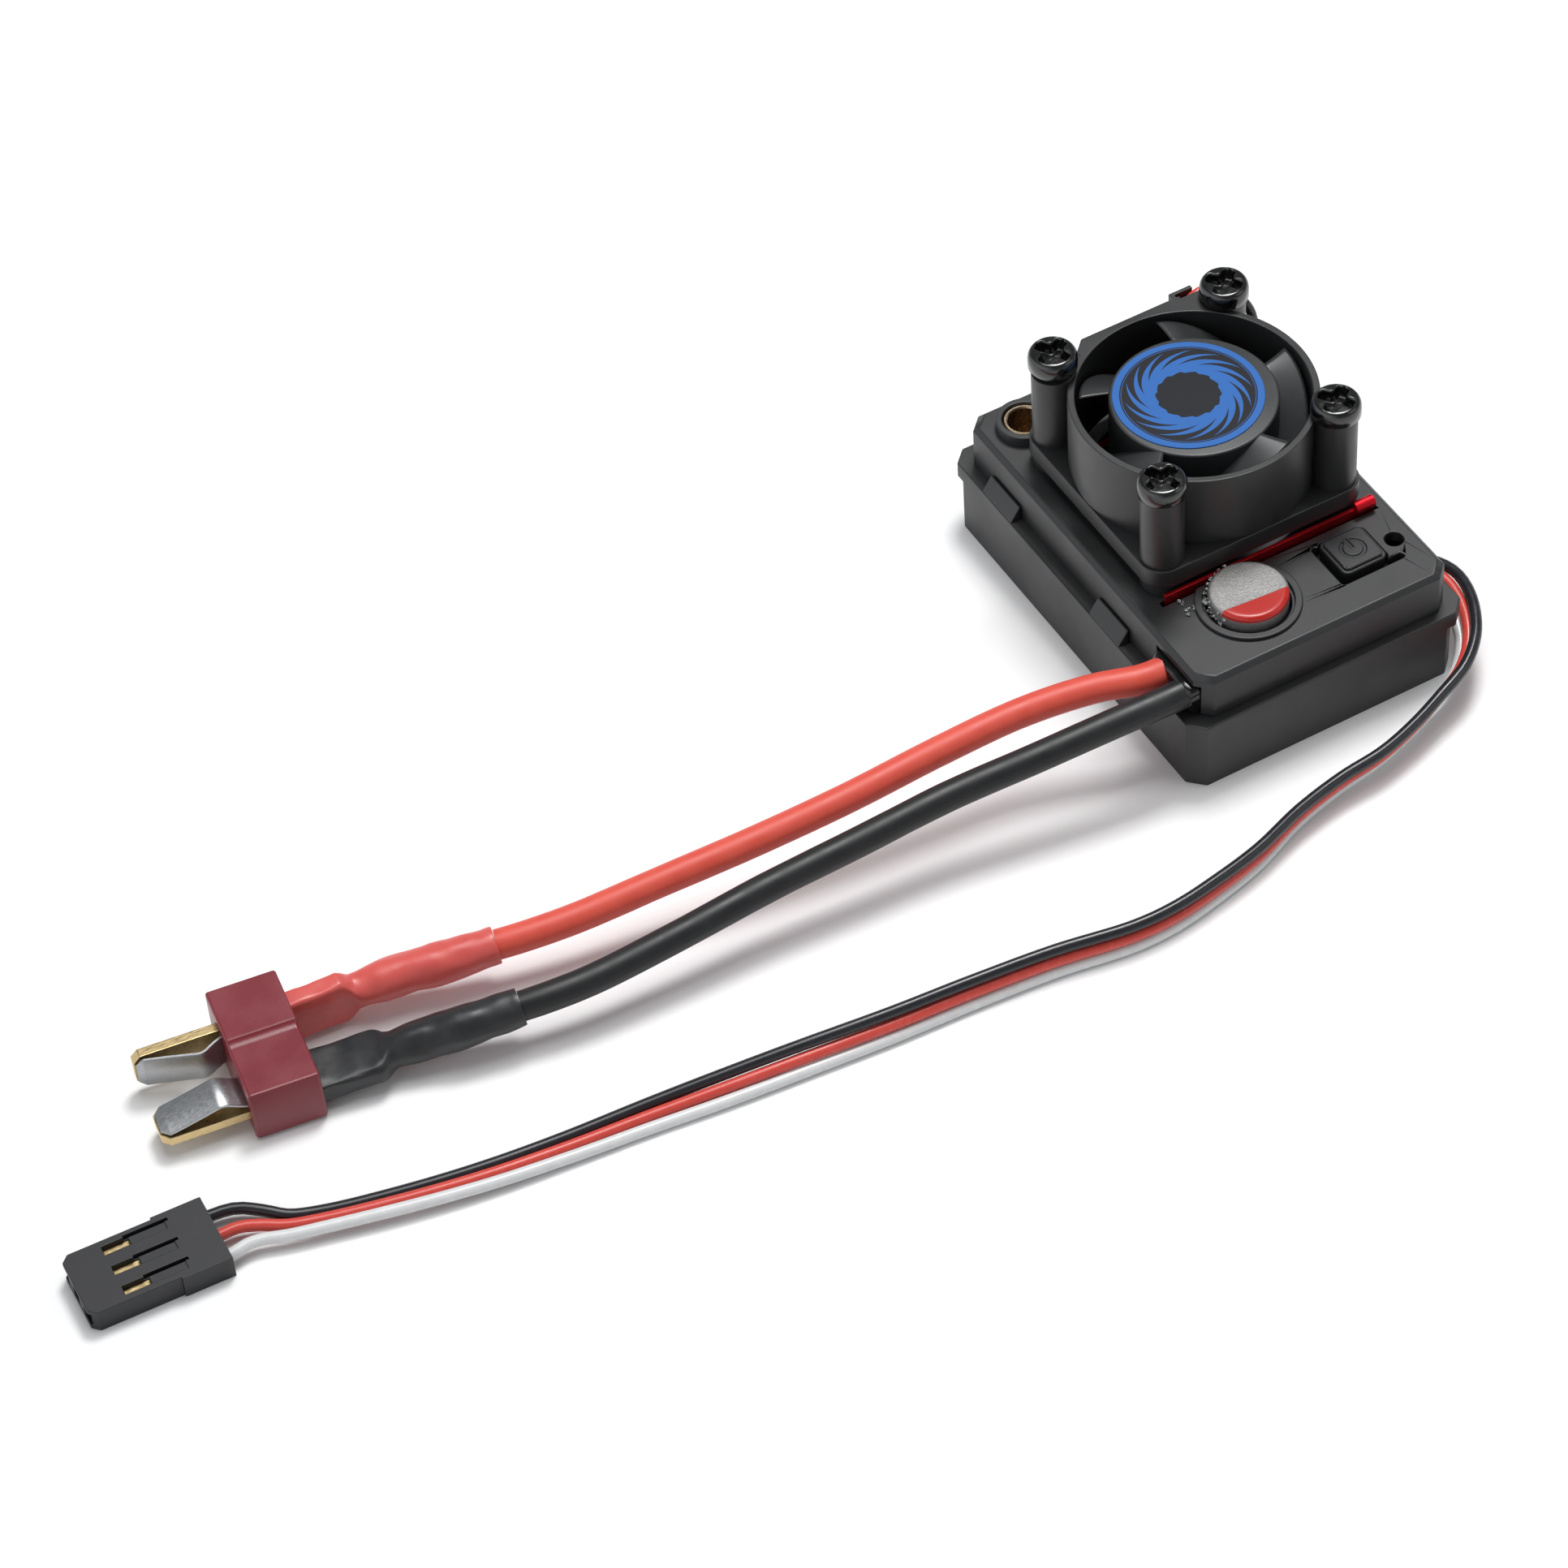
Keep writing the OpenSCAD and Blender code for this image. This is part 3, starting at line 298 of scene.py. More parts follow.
def brushedMetal(name):
    look = metals[name]
    finish, tree, shader, place = newFinish(name, look["dark"], Metallic=1.0)
    stretch = addNode(tree, "ShaderNodeMapping", {
        "Vector": place, "Scale": tuple(1 / (metalLine["apart"] * mm * s) for s in look["lines"]),
    }).outputs[0]
    lines = addNode(tree, "ShaderNodeTexNoise", {"Vector": stretch, "Scale": 1.0, "Detail": 2.0}).outputs[0]
    relief = addNode(tree, "ShaderNodeBump", {
        "Height": lines, "Strength": 0.4, "Distance": metalLine["depth"] * mm,
    })
    dress(tree, shader, look, lines, relief)
    return finish


# Poured and set compounds: wet-looking, lumpy where they met the air.
pouredCompounds = {
    "blackPotting": dict(dark="#060607", light="#0c0c0d", lump=0.9, depth=0.06, gloss=0.12, clear=0.0),
    "clearGlue": dict(dark="#dfe4e4", light="#f2f6f6", lump=0.5, depth=0.04, gloss=0.08, clear=0.85),
    "sealRubber": dict(dark="#161617", light="#222223", lump=0.6, depth=0.02, gloss=0.5, clear=0.0),
    "padSilicone": dict(dark="#79818f", light="#949cab", lump=0.5, depth=0.03, gloss=0.6, clear=0.0),
    "lightLens": dict(dark="#d9d6c8", light="#efece2", lump=2.0, depth=0.01, gloss=0.15, clear=0.4),
}


def pouredCompound(name):
    look = pouredCompounds[name]
    finish, tree, shader, place = newFinish(name, look["dark"], IOR=1.5, Roughness=look["gloss"],
                                            Transmission_Weight=look["clear"])
    lump = addNode(tree, "ShaderNodeTexNoise", {
        "Vector": place, "Scale": 1 / (look["lump"] * mm), "Detail": 2.0,
    }).outputs[0]
    relief = addNode(tree, "ShaderNodeBump", {
        "Height": lump, "Strength": 0.8, "Distance": look["depth"] * mm,
    })
    dress(tree, shader, look, lump, relief)
    return finish


screwCoat = {"dark": "#060607", "light": "#0d0e0f", "gloss": (0.13, 0.24), "patch": 0.6}


def blackOxideSteel():
    # blackened and oiled screw steel: near black with a wet gloss that gives sharp glints
    finish, tree, shader, place = newFinish("blackOxideSteel", screwCoat["dark"], IOR=1.6,
                                            Coat_Weight=0.3, Coat_Roughness=0.08)
    patch = addNode(tree, "ShaderNodeTexNoise", {
        "Vector": place, "Scale": 1 / (screwCoat["patch"] * mm), "Detail": 3.0,
    }).outputs[0]
    relief = addNode(tree, "ShaderNodeBump", {"Height": patch, "Strength": 0.5, "Distance": 0.02 * mm})
    dress(tree, shader, screwCoat, patch, relief)
    return finish


solderMask = {"dark": "#123b1f", "light": "#1c5a30", "pitch": 0.9, "width": 0.3, "gloss": 0.28}


def coatedBoard():
    # glass-epoxy board: green lacquer over copper tracks that show as raised paler bands
    finish, tree, shader, place = newFinish("coatedBoard", solderMask["dark"], Roughness=solderMask["gloss"])
    scaled = addNode(tree, "ShaderNodeMapping", {
        "Vector": place, "Scale": (1 / (solderMask["pitch"] * mm),) * 3,
    }).outputs[0]
    tracks = addNode(tree, "ShaderNodeTexBrick", {
        "Vector": scaled, "Color1": (1, 1, 1, 1), "Color2": (1, 1, 1, 1), "Mortar": (0, 0, 0, 1),
        "Scale": 1.0, "Mortar Size": solderMask["width"] / 2, "Brick Width": 3.0, "Row Height": 1.0,
    }).outputs[0]
    relief = addNode(tree, "ShaderNodeBump", {"Height": tracks, "Strength": 0.5, "Distance": 0.03 * mm})
    dress(tree, shader, solderMask, tracks, relief)
    return finish


canLook = {
    "dark": "#777675", "light": "#c4c2c0", "red": "#b01c12",
    "grit": 0.2,         # grit of the sanded top, mm
    "chord": 1.39,       # distance of the red segment's edge from the can's axis, mm
    "facing": -94.7,     # direction that the red segment faces, degrees
    "wrap": 0.6,         # how far the red runs down the side, mm
}


def sandedCan():
    # aluminium can with a gritty lacquered top and a printed red polarity segment
    finish, tree, shader, place = newFinish("sandedCan", canLook["dark"])
    axis = middle("capacitor_can")
    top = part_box("capacitor_can")[1].z
    centred = addNode(tree, "ShaderNodeMapping", {
        "Vector": place, "Location": (-axis.x, -axis.y, -top),
    }).outputs[0]
    facing = radians(canLook["facing"])
    reach = addNode(tree, "ShaderNodeVectorMath", {0: centred, 1: (cos(facing), sin(facing), 0)},
                    operation="DOT_PRODUCT").outputs["Value"]
    inSegment = addNode(tree, "ShaderNodeMapRange", {
        "Value": reach, "From Min": canLook["chord"] * mm, "From Max": (canLook["chord"] + 0.08) * mm,
    }).outputs[0]
    height = addNode(tree, "ShaderNodeSeparateXYZ", {0: centred}).outputs["Z"]
    nearTop = addNode(tree, "ShaderNodeMapRange", {
        "Value": height, "From Min": -(canLook["wrap"] + 0.05) * mm, "From Max": -canLook["wrap"] * mm,
    }).outputs[0]
    red = addNode(tree, "ShaderNodeMath", {0: inSegment, 1: nearTop}, operation="MULTIPLY").outputs[0]
    grit = addNode(tree, "ShaderNodeTexNoise", {
        "Vector": place, "Scale": 1 / (canLook["grit"] * mm), "Detail": 3.0, "Roughness": 0.7,
    }).outputs[0]
    onTop = addNode(tree, "ShaderNodeMapRange", {
        "Value": height, "From Min": -0.3 * mm, "From Max": -0.1 * mm,
    }).outputs[0]
    bare = addNode(tree, "ShaderNodeMath", {0: onTop, 1: red}, operation="SUBTRACT",
                   use_clamp=True).outputs[0]
    gritHeight = addNode(tree, "ShaderNodeMath", {0: grit, 1: bare}, operation="MULTIPLY").outputs[0]
    silver = addNode(tree, "ShaderNodeMix", {
        0: grit, 6: linear(canLook["dark"]), 7: linear(canLook["light"]),
    }, data_type="RGBA").outputs[2]
    tint = addNode(tree, "ShaderNodeMix", {0: red, 6: silver, 7: linear(canLook["red"])},
                   data_type="RGBA").outputs[2]
    metallic = addNode(tree, "ShaderNodeMapRange", {"Value": red, "To Min": 0.7, "To Max": 0.0}).outputs[0]
    satin = addNode(tree, "ShaderNodeMapRange", {"Value": bare, "To Min": 0.3, "To Max": 0.42}).outputs[0]
    relief = addNode(tree, "ShaderNodeBump", {"Height": gritHeight, "Strength": 1.0, "Distance": 0.12 * mm})
    tree.links.new(tint, shader.inputs["Base Color"])
    tree.links.new(metallic, shader.inputs["Metallic"])
    tree.links.new(satin, shader.inputs["Roughness"])
    tree.links.new(relief.outputs[0], shader.inputs["Normal"])
    return finish


# Generic swirl on the fan sticker, radii in mm
stickerLook = {
    "dark": "#0c0e17", "light": "#2560a8", "gloss": 0.45,
    "rims": [(6.78, 7.6), (6.58, 6.64)],    # blue rings, from and to
    "strokes": 14, "inner": 3.05, "full": 3.3, "ring": 4.1, "tip": 6.4,
    "halfWidth": 0.56,                      # of a stroke at its widest, as a share of their spacing
    "sweep": 1.55,                          # radians that a stroke turns between inner and tip
    "fibre": 0.3,                           # width of the paper's fibres
}


def printedSticker():
    # satin laminated paper print: crisp flat ink under a thin clear film
    finish, tree, shader, place = newFinish("printedSticker", stickerLook["dark"],
                                            Roughness=stickerLook["gloss"], Specular_IOR_Level=0.25,
                                            Coat_Weight=0.08, Coat_Roughness=0.2)
    axis = middle("fan_label")
    flat = addNode(tree, "ShaderNodeMapping", {
        "Vector": place, "Location": (-axis.x / mm, -axis.y / mm, 0), "Scale": (1 / mm, 1 / mm, 0),
    }).outputs[0]
    radius = addNode(tree, "ShaderNodeVectorMath", {0: flat}, operation="LENGTH").outputs["Value"]
    axes = addNode(tree, "ShaderNodeSeparateXYZ", {0: flat})
    angle = addNode(tree, "ShaderNodeMath", {0: axes.outputs["Y"], 1: axes.outputs["X"]},
                    operation="ARCTAN2").outputs[0]
    inner, full, ring, tip = (stickerLook[key] for key in ("inner", "full", "ring", "tip"))
    lead = addNode(tree, "ShaderNodeMapRange", {
        "Value": radius, "From Min": inner, "From Max": tip, "To Min": 0.0, "To Max": stickerLook["sweep"],
    }).outputs[0]
    swept = addNode(tree, "ShaderNodeMath", {0: angle, 1: lead}, operation="ADD").outputs[0]
    turns = addNode(tree, "ShaderNodeMath", {0: swept, 1: stickerLook["strokes"] / (2 * pi)},
                    operation="MULTIPLY").outputs[0]
    phase = addNode(tree, "ShaderNodeMath", {0: turns}, operation="FRACT").outputs[0]
    offCentre = addNode(tree, "ShaderNodeMath", {0: phase, 1: 0.5}, operation="SUBTRACT").outputs[0]
    distance = addNode(tree, "ShaderNodeMath", {0: offCentre}, operation="ABSOLUTE").outputs[0]
    growing = addNode(tree, "ShaderNodeMapRange", {
        "Value": radius, "From Min": inner, "From Max": full,
        "To Min": 0.0, "To Max": stickerLook["halfWidth"],
    }).outputs[0]
    fading = addNode(tree, "ShaderNodeMapRange", {
        "Value": radius, "From Min": ring, "From Max": tip,
        "To Min": stickerLook["halfWidth"], "To Max": 0.0,
    }).outputs[0]
    halfWidth = addNode(tree, "ShaderNodeMath", {0: growing, 1: fading}, operation="MINIMUM").outputs[0]
    spare = addNode(tree, "ShaderNodeMath", {0: halfWidth, 1: distance}, operation="SUBTRACT").outputs[0]
    blue = addNode(tree, "ShaderNodeMapRange", {"Value": spare, "From Min": 0.0, "From Max": 0.04}).outputs[0]
    for low, high in stickerLook["rims"]:
        fromEdge = addNode(tree, "ShaderNodeMath", {0: radius, 1: (low + high) / 2}, operation="SUBTRACT")
        away = addNode(tree, "ShaderNodeMath", {0: fromEdge.outputs[0]}, operation="ABSOLUTE").outputs[0]
        rim = addNode(tree, "ShaderNodeMath", {0: away, 1: (high - low) / 2},
                      operation="LESS_THAN").outputs[0]
        blue = addNode(tree, "ShaderNodeMath", {0: blue, 1: rim}, operation="MAXIMUM").outputs[0]
    paper = addNode(tree, "ShaderNodeTexNoise", {
        "Vector": place, "Scale": 1 / (stickerLook["fibre"] * mm), "Detail": 1.0,
    }).outputs[0]
    relief = addNode(tree, "ShaderNodeBump", {"Height": paper, "Strength": 0.3, "Distance": 0.006 * mm})
    dress(tree, shader, stickerLook, blue, relief)
    return finish


finishes = {}
for looks, maker in ((mouldedPlastics, mouldedPlastic), (flexibleSkins, flexibleSkin), (metals, brushedMetal),
                      (pouredCompounds, pouredCompound)):
    for finishName in looks:
        finishes[finishName] = maker(finishName)
for maker in (blackOxideSteel, coatedBoard, sandedCan, printedSticker):
    finishes[maker.__name__] = maker()
print("finishes mixed:", len(finishes))


# Ways of making a piece


def addPiece(name, mesh, node, finish=None, body="case"):
    # the finished piece rides on its body and stands for its CAD node
    if finish:
        mesh.materials.clear()
        mesh.materials.append(finishes[finish])
    piece = bpy.data.objects.new(name, mesh)
    bpy.context.scene.collection.objects.link(piece)
    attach(piece, body)
    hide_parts(node)
    return piece


def smoothMesh(name, points, faces):
    # welded, outward-facing and smooth-shaded mesh
    mesh = bpy.data.meshes.new(name)
    mesh.from_pydata(points, [], faces)
    work = bmesh.new()
    work.from_mesh(mesh)
    bmesh.ops.remove_doubles(work, verts=work.verts, dist=1e-7)
    bmesh.ops.recalc_face_normals(work, faces=work.faces)
    work.to_mesh(mesh)
    work.free()
    mesh.shade_smooth()
    return mesh


def applied(holder):
    # mesh of an object with its modifiers worked in; the holder goes away
    graph = bpy.context.evaluated_depsgraph_get()
    mesh = bpy.data.meshes.new_from_object(holder.evaluated_get(graph))
    bpy.data.objects.remove(holder)
    return mesh


def holderOf(mesh):
    holder = bpy.data.objects.new(mesh.name, mesh)
    bpy.context.scene.collection.objects.link(holder)
    return holder


sharpTurn = radians(32)  # edges that turn more than this are rounded
flatTurn = cos(radians(50))  # a corner's normal leans no further off its own face


def weldedCopy(node):
    # the CAD node's shape as one clean mesh of few triangles, its outer edges marked for rounding
    work = bmesh.new()
    work.from_mesh(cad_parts[node].data)
    bmesh.ops.remove_doubles(work, verts=work.verts, dist=2e-6)
    bmesh.ops.dissolve_limit(work, angle_limit=radians(0.5), verts=work.verts, edges=work.edges)
    # triangles, since a long face round an opening folds over itself when its edges are rounded
    bmesh.ops.triangulate(work, faces=work.faces)
    marks = work.edges.layers.float.new("bevel_weight_edge")
    for edge in work.edges:
        outer = edge.is_manifold and edge.is_convex and edge.calc_face_angle() > sharpTurn
        edge[marks] = 1.0 if outer else 0.0
    mesh = bpy.data.meshes.new(node + "_work")
    work.to_mesh(mesh)
    work.free()
    mesh.shade_smooth()
    return mesh


def flatShaded(mesh, nearly=0.6):
    # each corner takes the normal of the widest flat beside it that turns no more than an edge
    # may, so flats stay even right up to their rounded edges; flats of nearly the same size
    # share the corner, as round walls need
    planes = []
    for face in mesh.polygons:
        offset = round(face.normal.dot(face.center) / (0.02 * mm))
        planes.append(tuple(round(part, 2) for part in face.normal) + (offset,))
    spread = {}
    touching = [{} for _ in mesh.vertices]
    for face, plane in zip(mesh.polygons, planes):
        spread[plane] = spread.get(plane, 0.0) + face.area
        for corner in face.vertices:
            touching[corner][plane] = face.normal.copy()
    normals = []
    for face in mesh.polygons:
        for corner in face.vertices:
            beside = [(spread[plane], normal) for plane, normal in touching[corner].items()
                      if normal.dot(face.normal) > flatTurn]
            widest = max(beside, key=lambda flat: flat[0], default=(0.0, face.normal))[0]
            shared = [normal for size, normal in beside if size >= nearly * widest]
            normals.append(sum(shared, Vector()).normalized() if shared else face.normal.copy())
    mesh.normals_split_custom_set(normals)
    return mesh


def roundedCopy(node, radius, steps=2):
    # the same shape with its edges rounded as the mould or the tumbler leaves them
    holder = holderOf(weldedCopy(node))
    rounding = holder.modifiers.new("rounding", "BEVEL")
    rounding.width = radius * mm
    rounding.segments = steps
    rounding.limit_method = "WEIGHT"
    rounding.use_clamp_overlap = False
    rounding.miter_outer = "MITER_ARC"
    return flatShaded(applied(holder))


def smoothRoute(knots, step):
    # centripetal curve through given knots, sampled about every step; extra columns follow along
    knots = np.array(knots, float)
    first = 2 * knots[0] - knots[1]
    last = 2 * knots[-1] - knots[-2]
    rows = np.vstack([first, knots, last])
    out = []
    for i in range(1, len(rows) - 2):
        a, b, c, d = rows[i - 1], rows[i], rows[i + 1], rows[i + 2]
        t1 = np.linalg.norm(b[:3] - a[:3]) ** 0.5
        t2 = t1 + np.linalg.norm(c[:3] - b[:3]) ** 0.5
        t3 = t2 + np.linalg.norm(d[:3] - c[:3]) ** 0.5
        count = max(2, round(np.linalg.norm(c[:3] - b[:3]) / step))
        for t in np.linspace(t1, t2, count, endpoint=False):
            ab = a * (t1 - t) / t1 + b * t / t1
            bc = b * (t2 - t) / (t2 - t1) + c * (t - t1) / (t2 - t1)
            cd = c * (t3 - t) / (t3 - t2) + d * (t - t2) / (t3 - t2)
            near = ab * (t2 - t) / t2 + bc * t / t2
            far = bc * (t3 - t) / (t3 - t1) + cd * (t - t1) / (t3 - t1)
            out.append(near * (t2 - t) / (t2 - t1) + far * (t - t1) / (t2 - t1))
    out.append(rows[-2])
    return np.array(out)


def headings(route):
    ahead = np.gradient(route[:, :3], axis=0)
    return ahead / np.linalg.norm(ahead, axis=1)[:, None]


def skin(name, route, ringAt, reference=(0, 0, 1)):
    # closed skin over rings set square to a route in mm; ringAt(distance) gives each ring's
    # (side, up) points, and a "skin" UV map in metres runs round and along it
    ahead = headings(route)
    side = np.cross(np.array(reference, float), ahead)
    side /= np.linalg.norm(side, axis=1)[:, None]
    up = np.cross(ahead, side)
    steps = np.linalg.norm(np.diff(route[:, :3], axis=0), axis=1)
    along = np.concatenate([[0], np.cumsum(steps)])
    points = []
    for i in range(len(route)):
        ring = np.array(ringAt(along[i]))
        points.append(route[i, :3] + ring[:, :1] * side[i] + ring[:, 1:] * up[i])
    sides = len(points[0])
    flat = np.vstack(points) * mm
    faces = []
    for i in range(len(route) - 1):
        for k in range(sides):
            m = (k + 1) % sides
            faces.append((i * sides + k, (i + 1) * sides + k, (i + 1) * sides + m, i * sides + m))
    last = (len(route) - 1) * sides
    faces.append(tuple(range(sides)))
    faces.append(tuple(last + k for k in reversed(range(sides))))
    mesh = bpy.data.meshes.new(name)
    mesh.from_pydata(flat.tolist(), [], faces)
    uv = mesh.uv_layers.new(name="skin")
    girth = np.linalg.norm(np.roll(points[0], -1, axis=0) - points[0], axis=1).sum()
    for face in mesh.polygons:
        wraps = len(face.vertices) == 4 and any(v % sides == sides - 1 for v in face.vertices) \
            and any(v % sides == 0 for v in face.vertices)
        for corner in face.loop_indices:
            row, column = divmod(mesh.loops[corner].vertex_index, sides)
            turn = 1.0 if wraps and column == 0 else column / sides
            uv.data[corner].uv = (turn * girth * mm, along[row] * mm)
    mesh.shade_smooth()
    mesh.set_sharp_from_angle(angle=radians(50))
    return mesh, flat.reshape(-1, sides, 3).mean(axis=1)


def roundRing(radius, sides=20):
    turns = np.arange(sides) * 2 * pi / sides
    return np.stack([radius * np.cos(turns), radius * np.sin(turns)], axis=1)


def squareRing(halfWide, halfTall, power, sides=40):
    # round at power 2, squarer as the power grows
    turns = (np.arange(sides) + 0.5) * 2 * pi / sides
    c, s = np.cos(turns), np.sin(turns)
    return np.stack([halfWide * np.sign(c) * np.abs(c) ** (2 / power),
                     halfTall * np.sign(s) * np.abs(s) ** (2 / power)], axis=1)


# Cords: battery leads, fan wires and receiver wires

batteryLeads = {
    "red": {
        "finish": "redSilicone", "diameter": 3.0, "waver": 0.02, "seed": 1.0,
        "route": [
            (-12.4, -15.8, 10.4), (-17, -15.8, 10.4), (-22, -14, 10.1), (-29, -12.4, 9.4),
            (-38, -11.8, 8.6), (-48, -11.5, 7.6), (-58, -10.8, 6.7), (-68, -9.8, 5.9), (-77, -8.9, 5.2),
            (-82.6, -7.9, 4.85), (-84.5, -7.4, 4.7),
        ],
    },
    "black": {
        "finish": "blackSilicone", "diameter": 3.0, "waver": 0.02, "seed": 7.0,
        "route": [
            (-12.4, -19.4, 10.4), (-17, -19.4, 10.4), (-23, -18.9, 10), (-31, -18, 9.1), (-40, -17, 8.2),
            (-50, -16.7, 7.3), (-60, -16.4, 6.5), (-70, -16.5, 5.7), (-79, -16.3, 5), (-84.1, -15.65, 4.7),
            (-86, -15.2, 4.5),
        ],
    },
}


def wireSkin(name, route, diameter, waver=0.0, seed=0.0, reference=(0, 0, 1), sides=20):
    # round insulation whose girth wavers very slightly, over some 6 mm of its length at a time
    def ring(distance):
        swell = 1 + waver * noise.noise(Vector((distance / 6, seed, 0)))
        return roundRing(diameter / 2 * min(swell, 1.0), sides)
    return skin(name, route, ring, reference)


for colour, lead in batteryLeads.items():
    node = "battery_lead_" + colour
    route = smoothRoute(lead["route"], 0.8)
    mesh, path = wireSkin(node + "_skin", route, lead["diameter"], lead["waver"], lead["seed"])
    piece = addPiece(node + "_insulation", mesh, node, lead["finish"])

fanWires = {
    "red": {
        "finish": "redVinyl", "diameter": 1.0,
        "route": [
            (7.2, 14.9, 20.3), (7.2, 14.9, 22.8), (7.7, 14.9, 23.9), (8.9, 15, 24.3), (10.3, 15.3, 24.1),
            (11.5, 15.6, 23.3), (12.1, 15.8, 21.8), (12.3, 15.6, 19.5), (12.2, 15, 17), (12, 14.6, 14.4),
            (11.9, 14.45, 12.3), (11.4, 14.7, 10.6), (10.7, 14.85, 9), (10.6, 14.85, 7),
            (10.6, 14.85, 3.6),
        ],
    },
    "black": {
        "finish": "blackVinyl", "diameter": 1.0,
        "route": [
            (8.4, 14.9, 20.3), (8.4, 14.9, 21.6), (9.1, 14.9, 22.7), (10.6, 14.95, 23), (12, 14.6, 22.8),
            (13.2, 13.9, 21.9), (14, 13.4, 20.3), (14.2, 13.1, 18.2), (13.7, 13, 16), (12.95, 13.3, 13.9),
            (12.65, 13.6, 12.3), (12.3, 14, 10.6), (11.9, 14.7, 9), (11.9, 15, 7), (11.9, 15, 3.6),
        ],
    },
}
for colour, wire in fanWires.items():
    node = "fan_wire_" + colour
    route = smoothRoute(wire["route"], 0.35)
    mesh = wireSkin(node + "_skin", route, wire["diameter"], reference=(1, 0.3, 0), sides=16)[0]
    addPiece(node + "_insulation", mesh, node, wire["finish"])

# Middle wire of the receiver ribbon, with the ribbon's turn in degrees and its spread at each knot
receiverRibbon = {
    "diameter": 1.2, "pitch": 1.25,
    "route": [
        (12, -13.5, 5.2, 0, 1), (15.2, -13.5, 5.2, 0, 1), (17, -14.3, 5.2, 8, 1),
        (17.9, -16.2, 5.1, 20, 1), (17.8, -18.7, 4.9, 36, 1), (16.95, -21.4, 4.6, 48, 1),
        (15.4, -24, 4.2, 57, 1), (12.8, -26.3, 3.7, 62, 1), (9, -27.9, 3.1, 66, 1), (5, -29.4, 2.7, 68, 1),
        (0.6, -30.6, 2.4, 70, 1), (-4.6, -31.2, 2.1, 75, 1), (-10.2, -32.5, 1.95, 80, 1),
        (-16.2, -34.7, 1.87, 88, 1), (-21.7, -36, 1.87, 93, 1), (-26.8, -36.8, 1.86, 97, 1),
        (-31.4, -36.8, 1.85, 100, 1), (-39.6, -35.4, 1.83, 105, 1), (-48, -34.5, 1.8, 110, 1),
        (-56.5, -33.8, 1.73, 118, 1), (-64.8, -32.8, 1.58, 130, 1), (-72.9, -31.7, 1.25, 150, 1),
        (-80.9, -30.5, 0.84, 170, 1), (-89, -29.6, 0.7, 183, 1), (-97, -28.6, 0.84, 190, 1),
        (-104.7, -27.1, 0.95, 195, 1), (-112.1, -25.2, 1, 195, 1), (-115.4, -24.1, 1.1, 190, 1.12),
        (-117.5, -22.9, 1.25, 184, 1.45), (-119.4, -22.12, 1.35, 181, 1.85),
        (-121.4, -22.02, 1.35, 180, 2.03),
    ],
    "wires": {"black": 1, "red": 0, "white": -1},
}


def ribbonWire(place):
    # the middle wire's route, moved sideways within the ribbon
    rows = smoothRoute(receiverRibbon["route"], 0.8)
    ahead = headings(rows)
    across = np.cross(np.array([0.0, 0.0, 1.0]), ahead)
    across /= np.linalg.norm(across, axis=1)[:, None]
    turn = np.radians(rows[:, 3:4])
    shift = place * receiverRibbon["pitch"] * rows[:, 4:5]
    return rows[:, :3] + shift * (across * np.cos(turn) + np.array([0.0, 0.0, 1.0]) * np.sin(turn))


for colour, place in receiverRibbon["wires"].items():
    node = "receiver_wire_" + colour
    route = ribbonWire(place)
    mesh, path = wireSkin(node + "_skin", route, receiverRibbon["diameter"], sides=16)
    piece = addPiece(node + "_insulation", mesh, node, colour + "Vinyl")
print("cords are laid")


# Heat-shrink sleeves over the solder joints: round over the lead, drawn in at a neck, then
# flattened over the solder tab. Stations are distance, half width, half height, squareness.

sleeves = {
    "red": {
        "finish": "redShrink", "ripple": 0.07,
        "route": [
            (-84.5, -7.4, 4.7), (-89.5, -6.2, 4.15), (-94.2, -4.9, 3.7), (-98, -4.25, 3.4),
            (-101, -4.0, 3.25), (-104.75, -3.62, 3.25),
        ],
        "stations": [
            (0, 1.55, 1.55, 2), (0.01, 1.8, 1.8, 2), (0.15, 1.86, 1.86, 2), (6, 2.1, 2.1, 2),
            (11.5, 2.0, 2.0, 2), (13.6, 1.8, 1.8, 2), (14.3, 1.6, 1.85, 2.2), (14.8, 1.2, 2.4, 3.4),
            (15.4, 1.12, 2.72, 5.5), (21, 1.15, 2.62, 6),
        ],
    },
    "black": {
        "finish": "blackShrink", "ripple": 0.10,
        "route": [
            (-86, -15.2, 4.5), (-90.5, -14.2, 3.9), (-95, -12.9, 3.2), (-98.4, -12, 2.75),
            (-101, -11.35, 2.35), (-105.72, -10.55, 2.2),
        ],
        "stations": [
            (0, 1.55, 1.55, 2), (0.01, 1.8, 1.8, 2), (0.15, 1.86, 1.86, 2), (6, 2.12, 2.12, 2),
            (10.8, 1.95, 1.95, 2), (12.6, 1.75, 1.75, 2), (13.2, 2.0, 1.5, 2.6), (13.8, 2.55, 1.2, 4.5),
            (14.3, 2.7, 1.15, 6), (20.5, 2.62, 1.2, 6),
        ],
    },
}


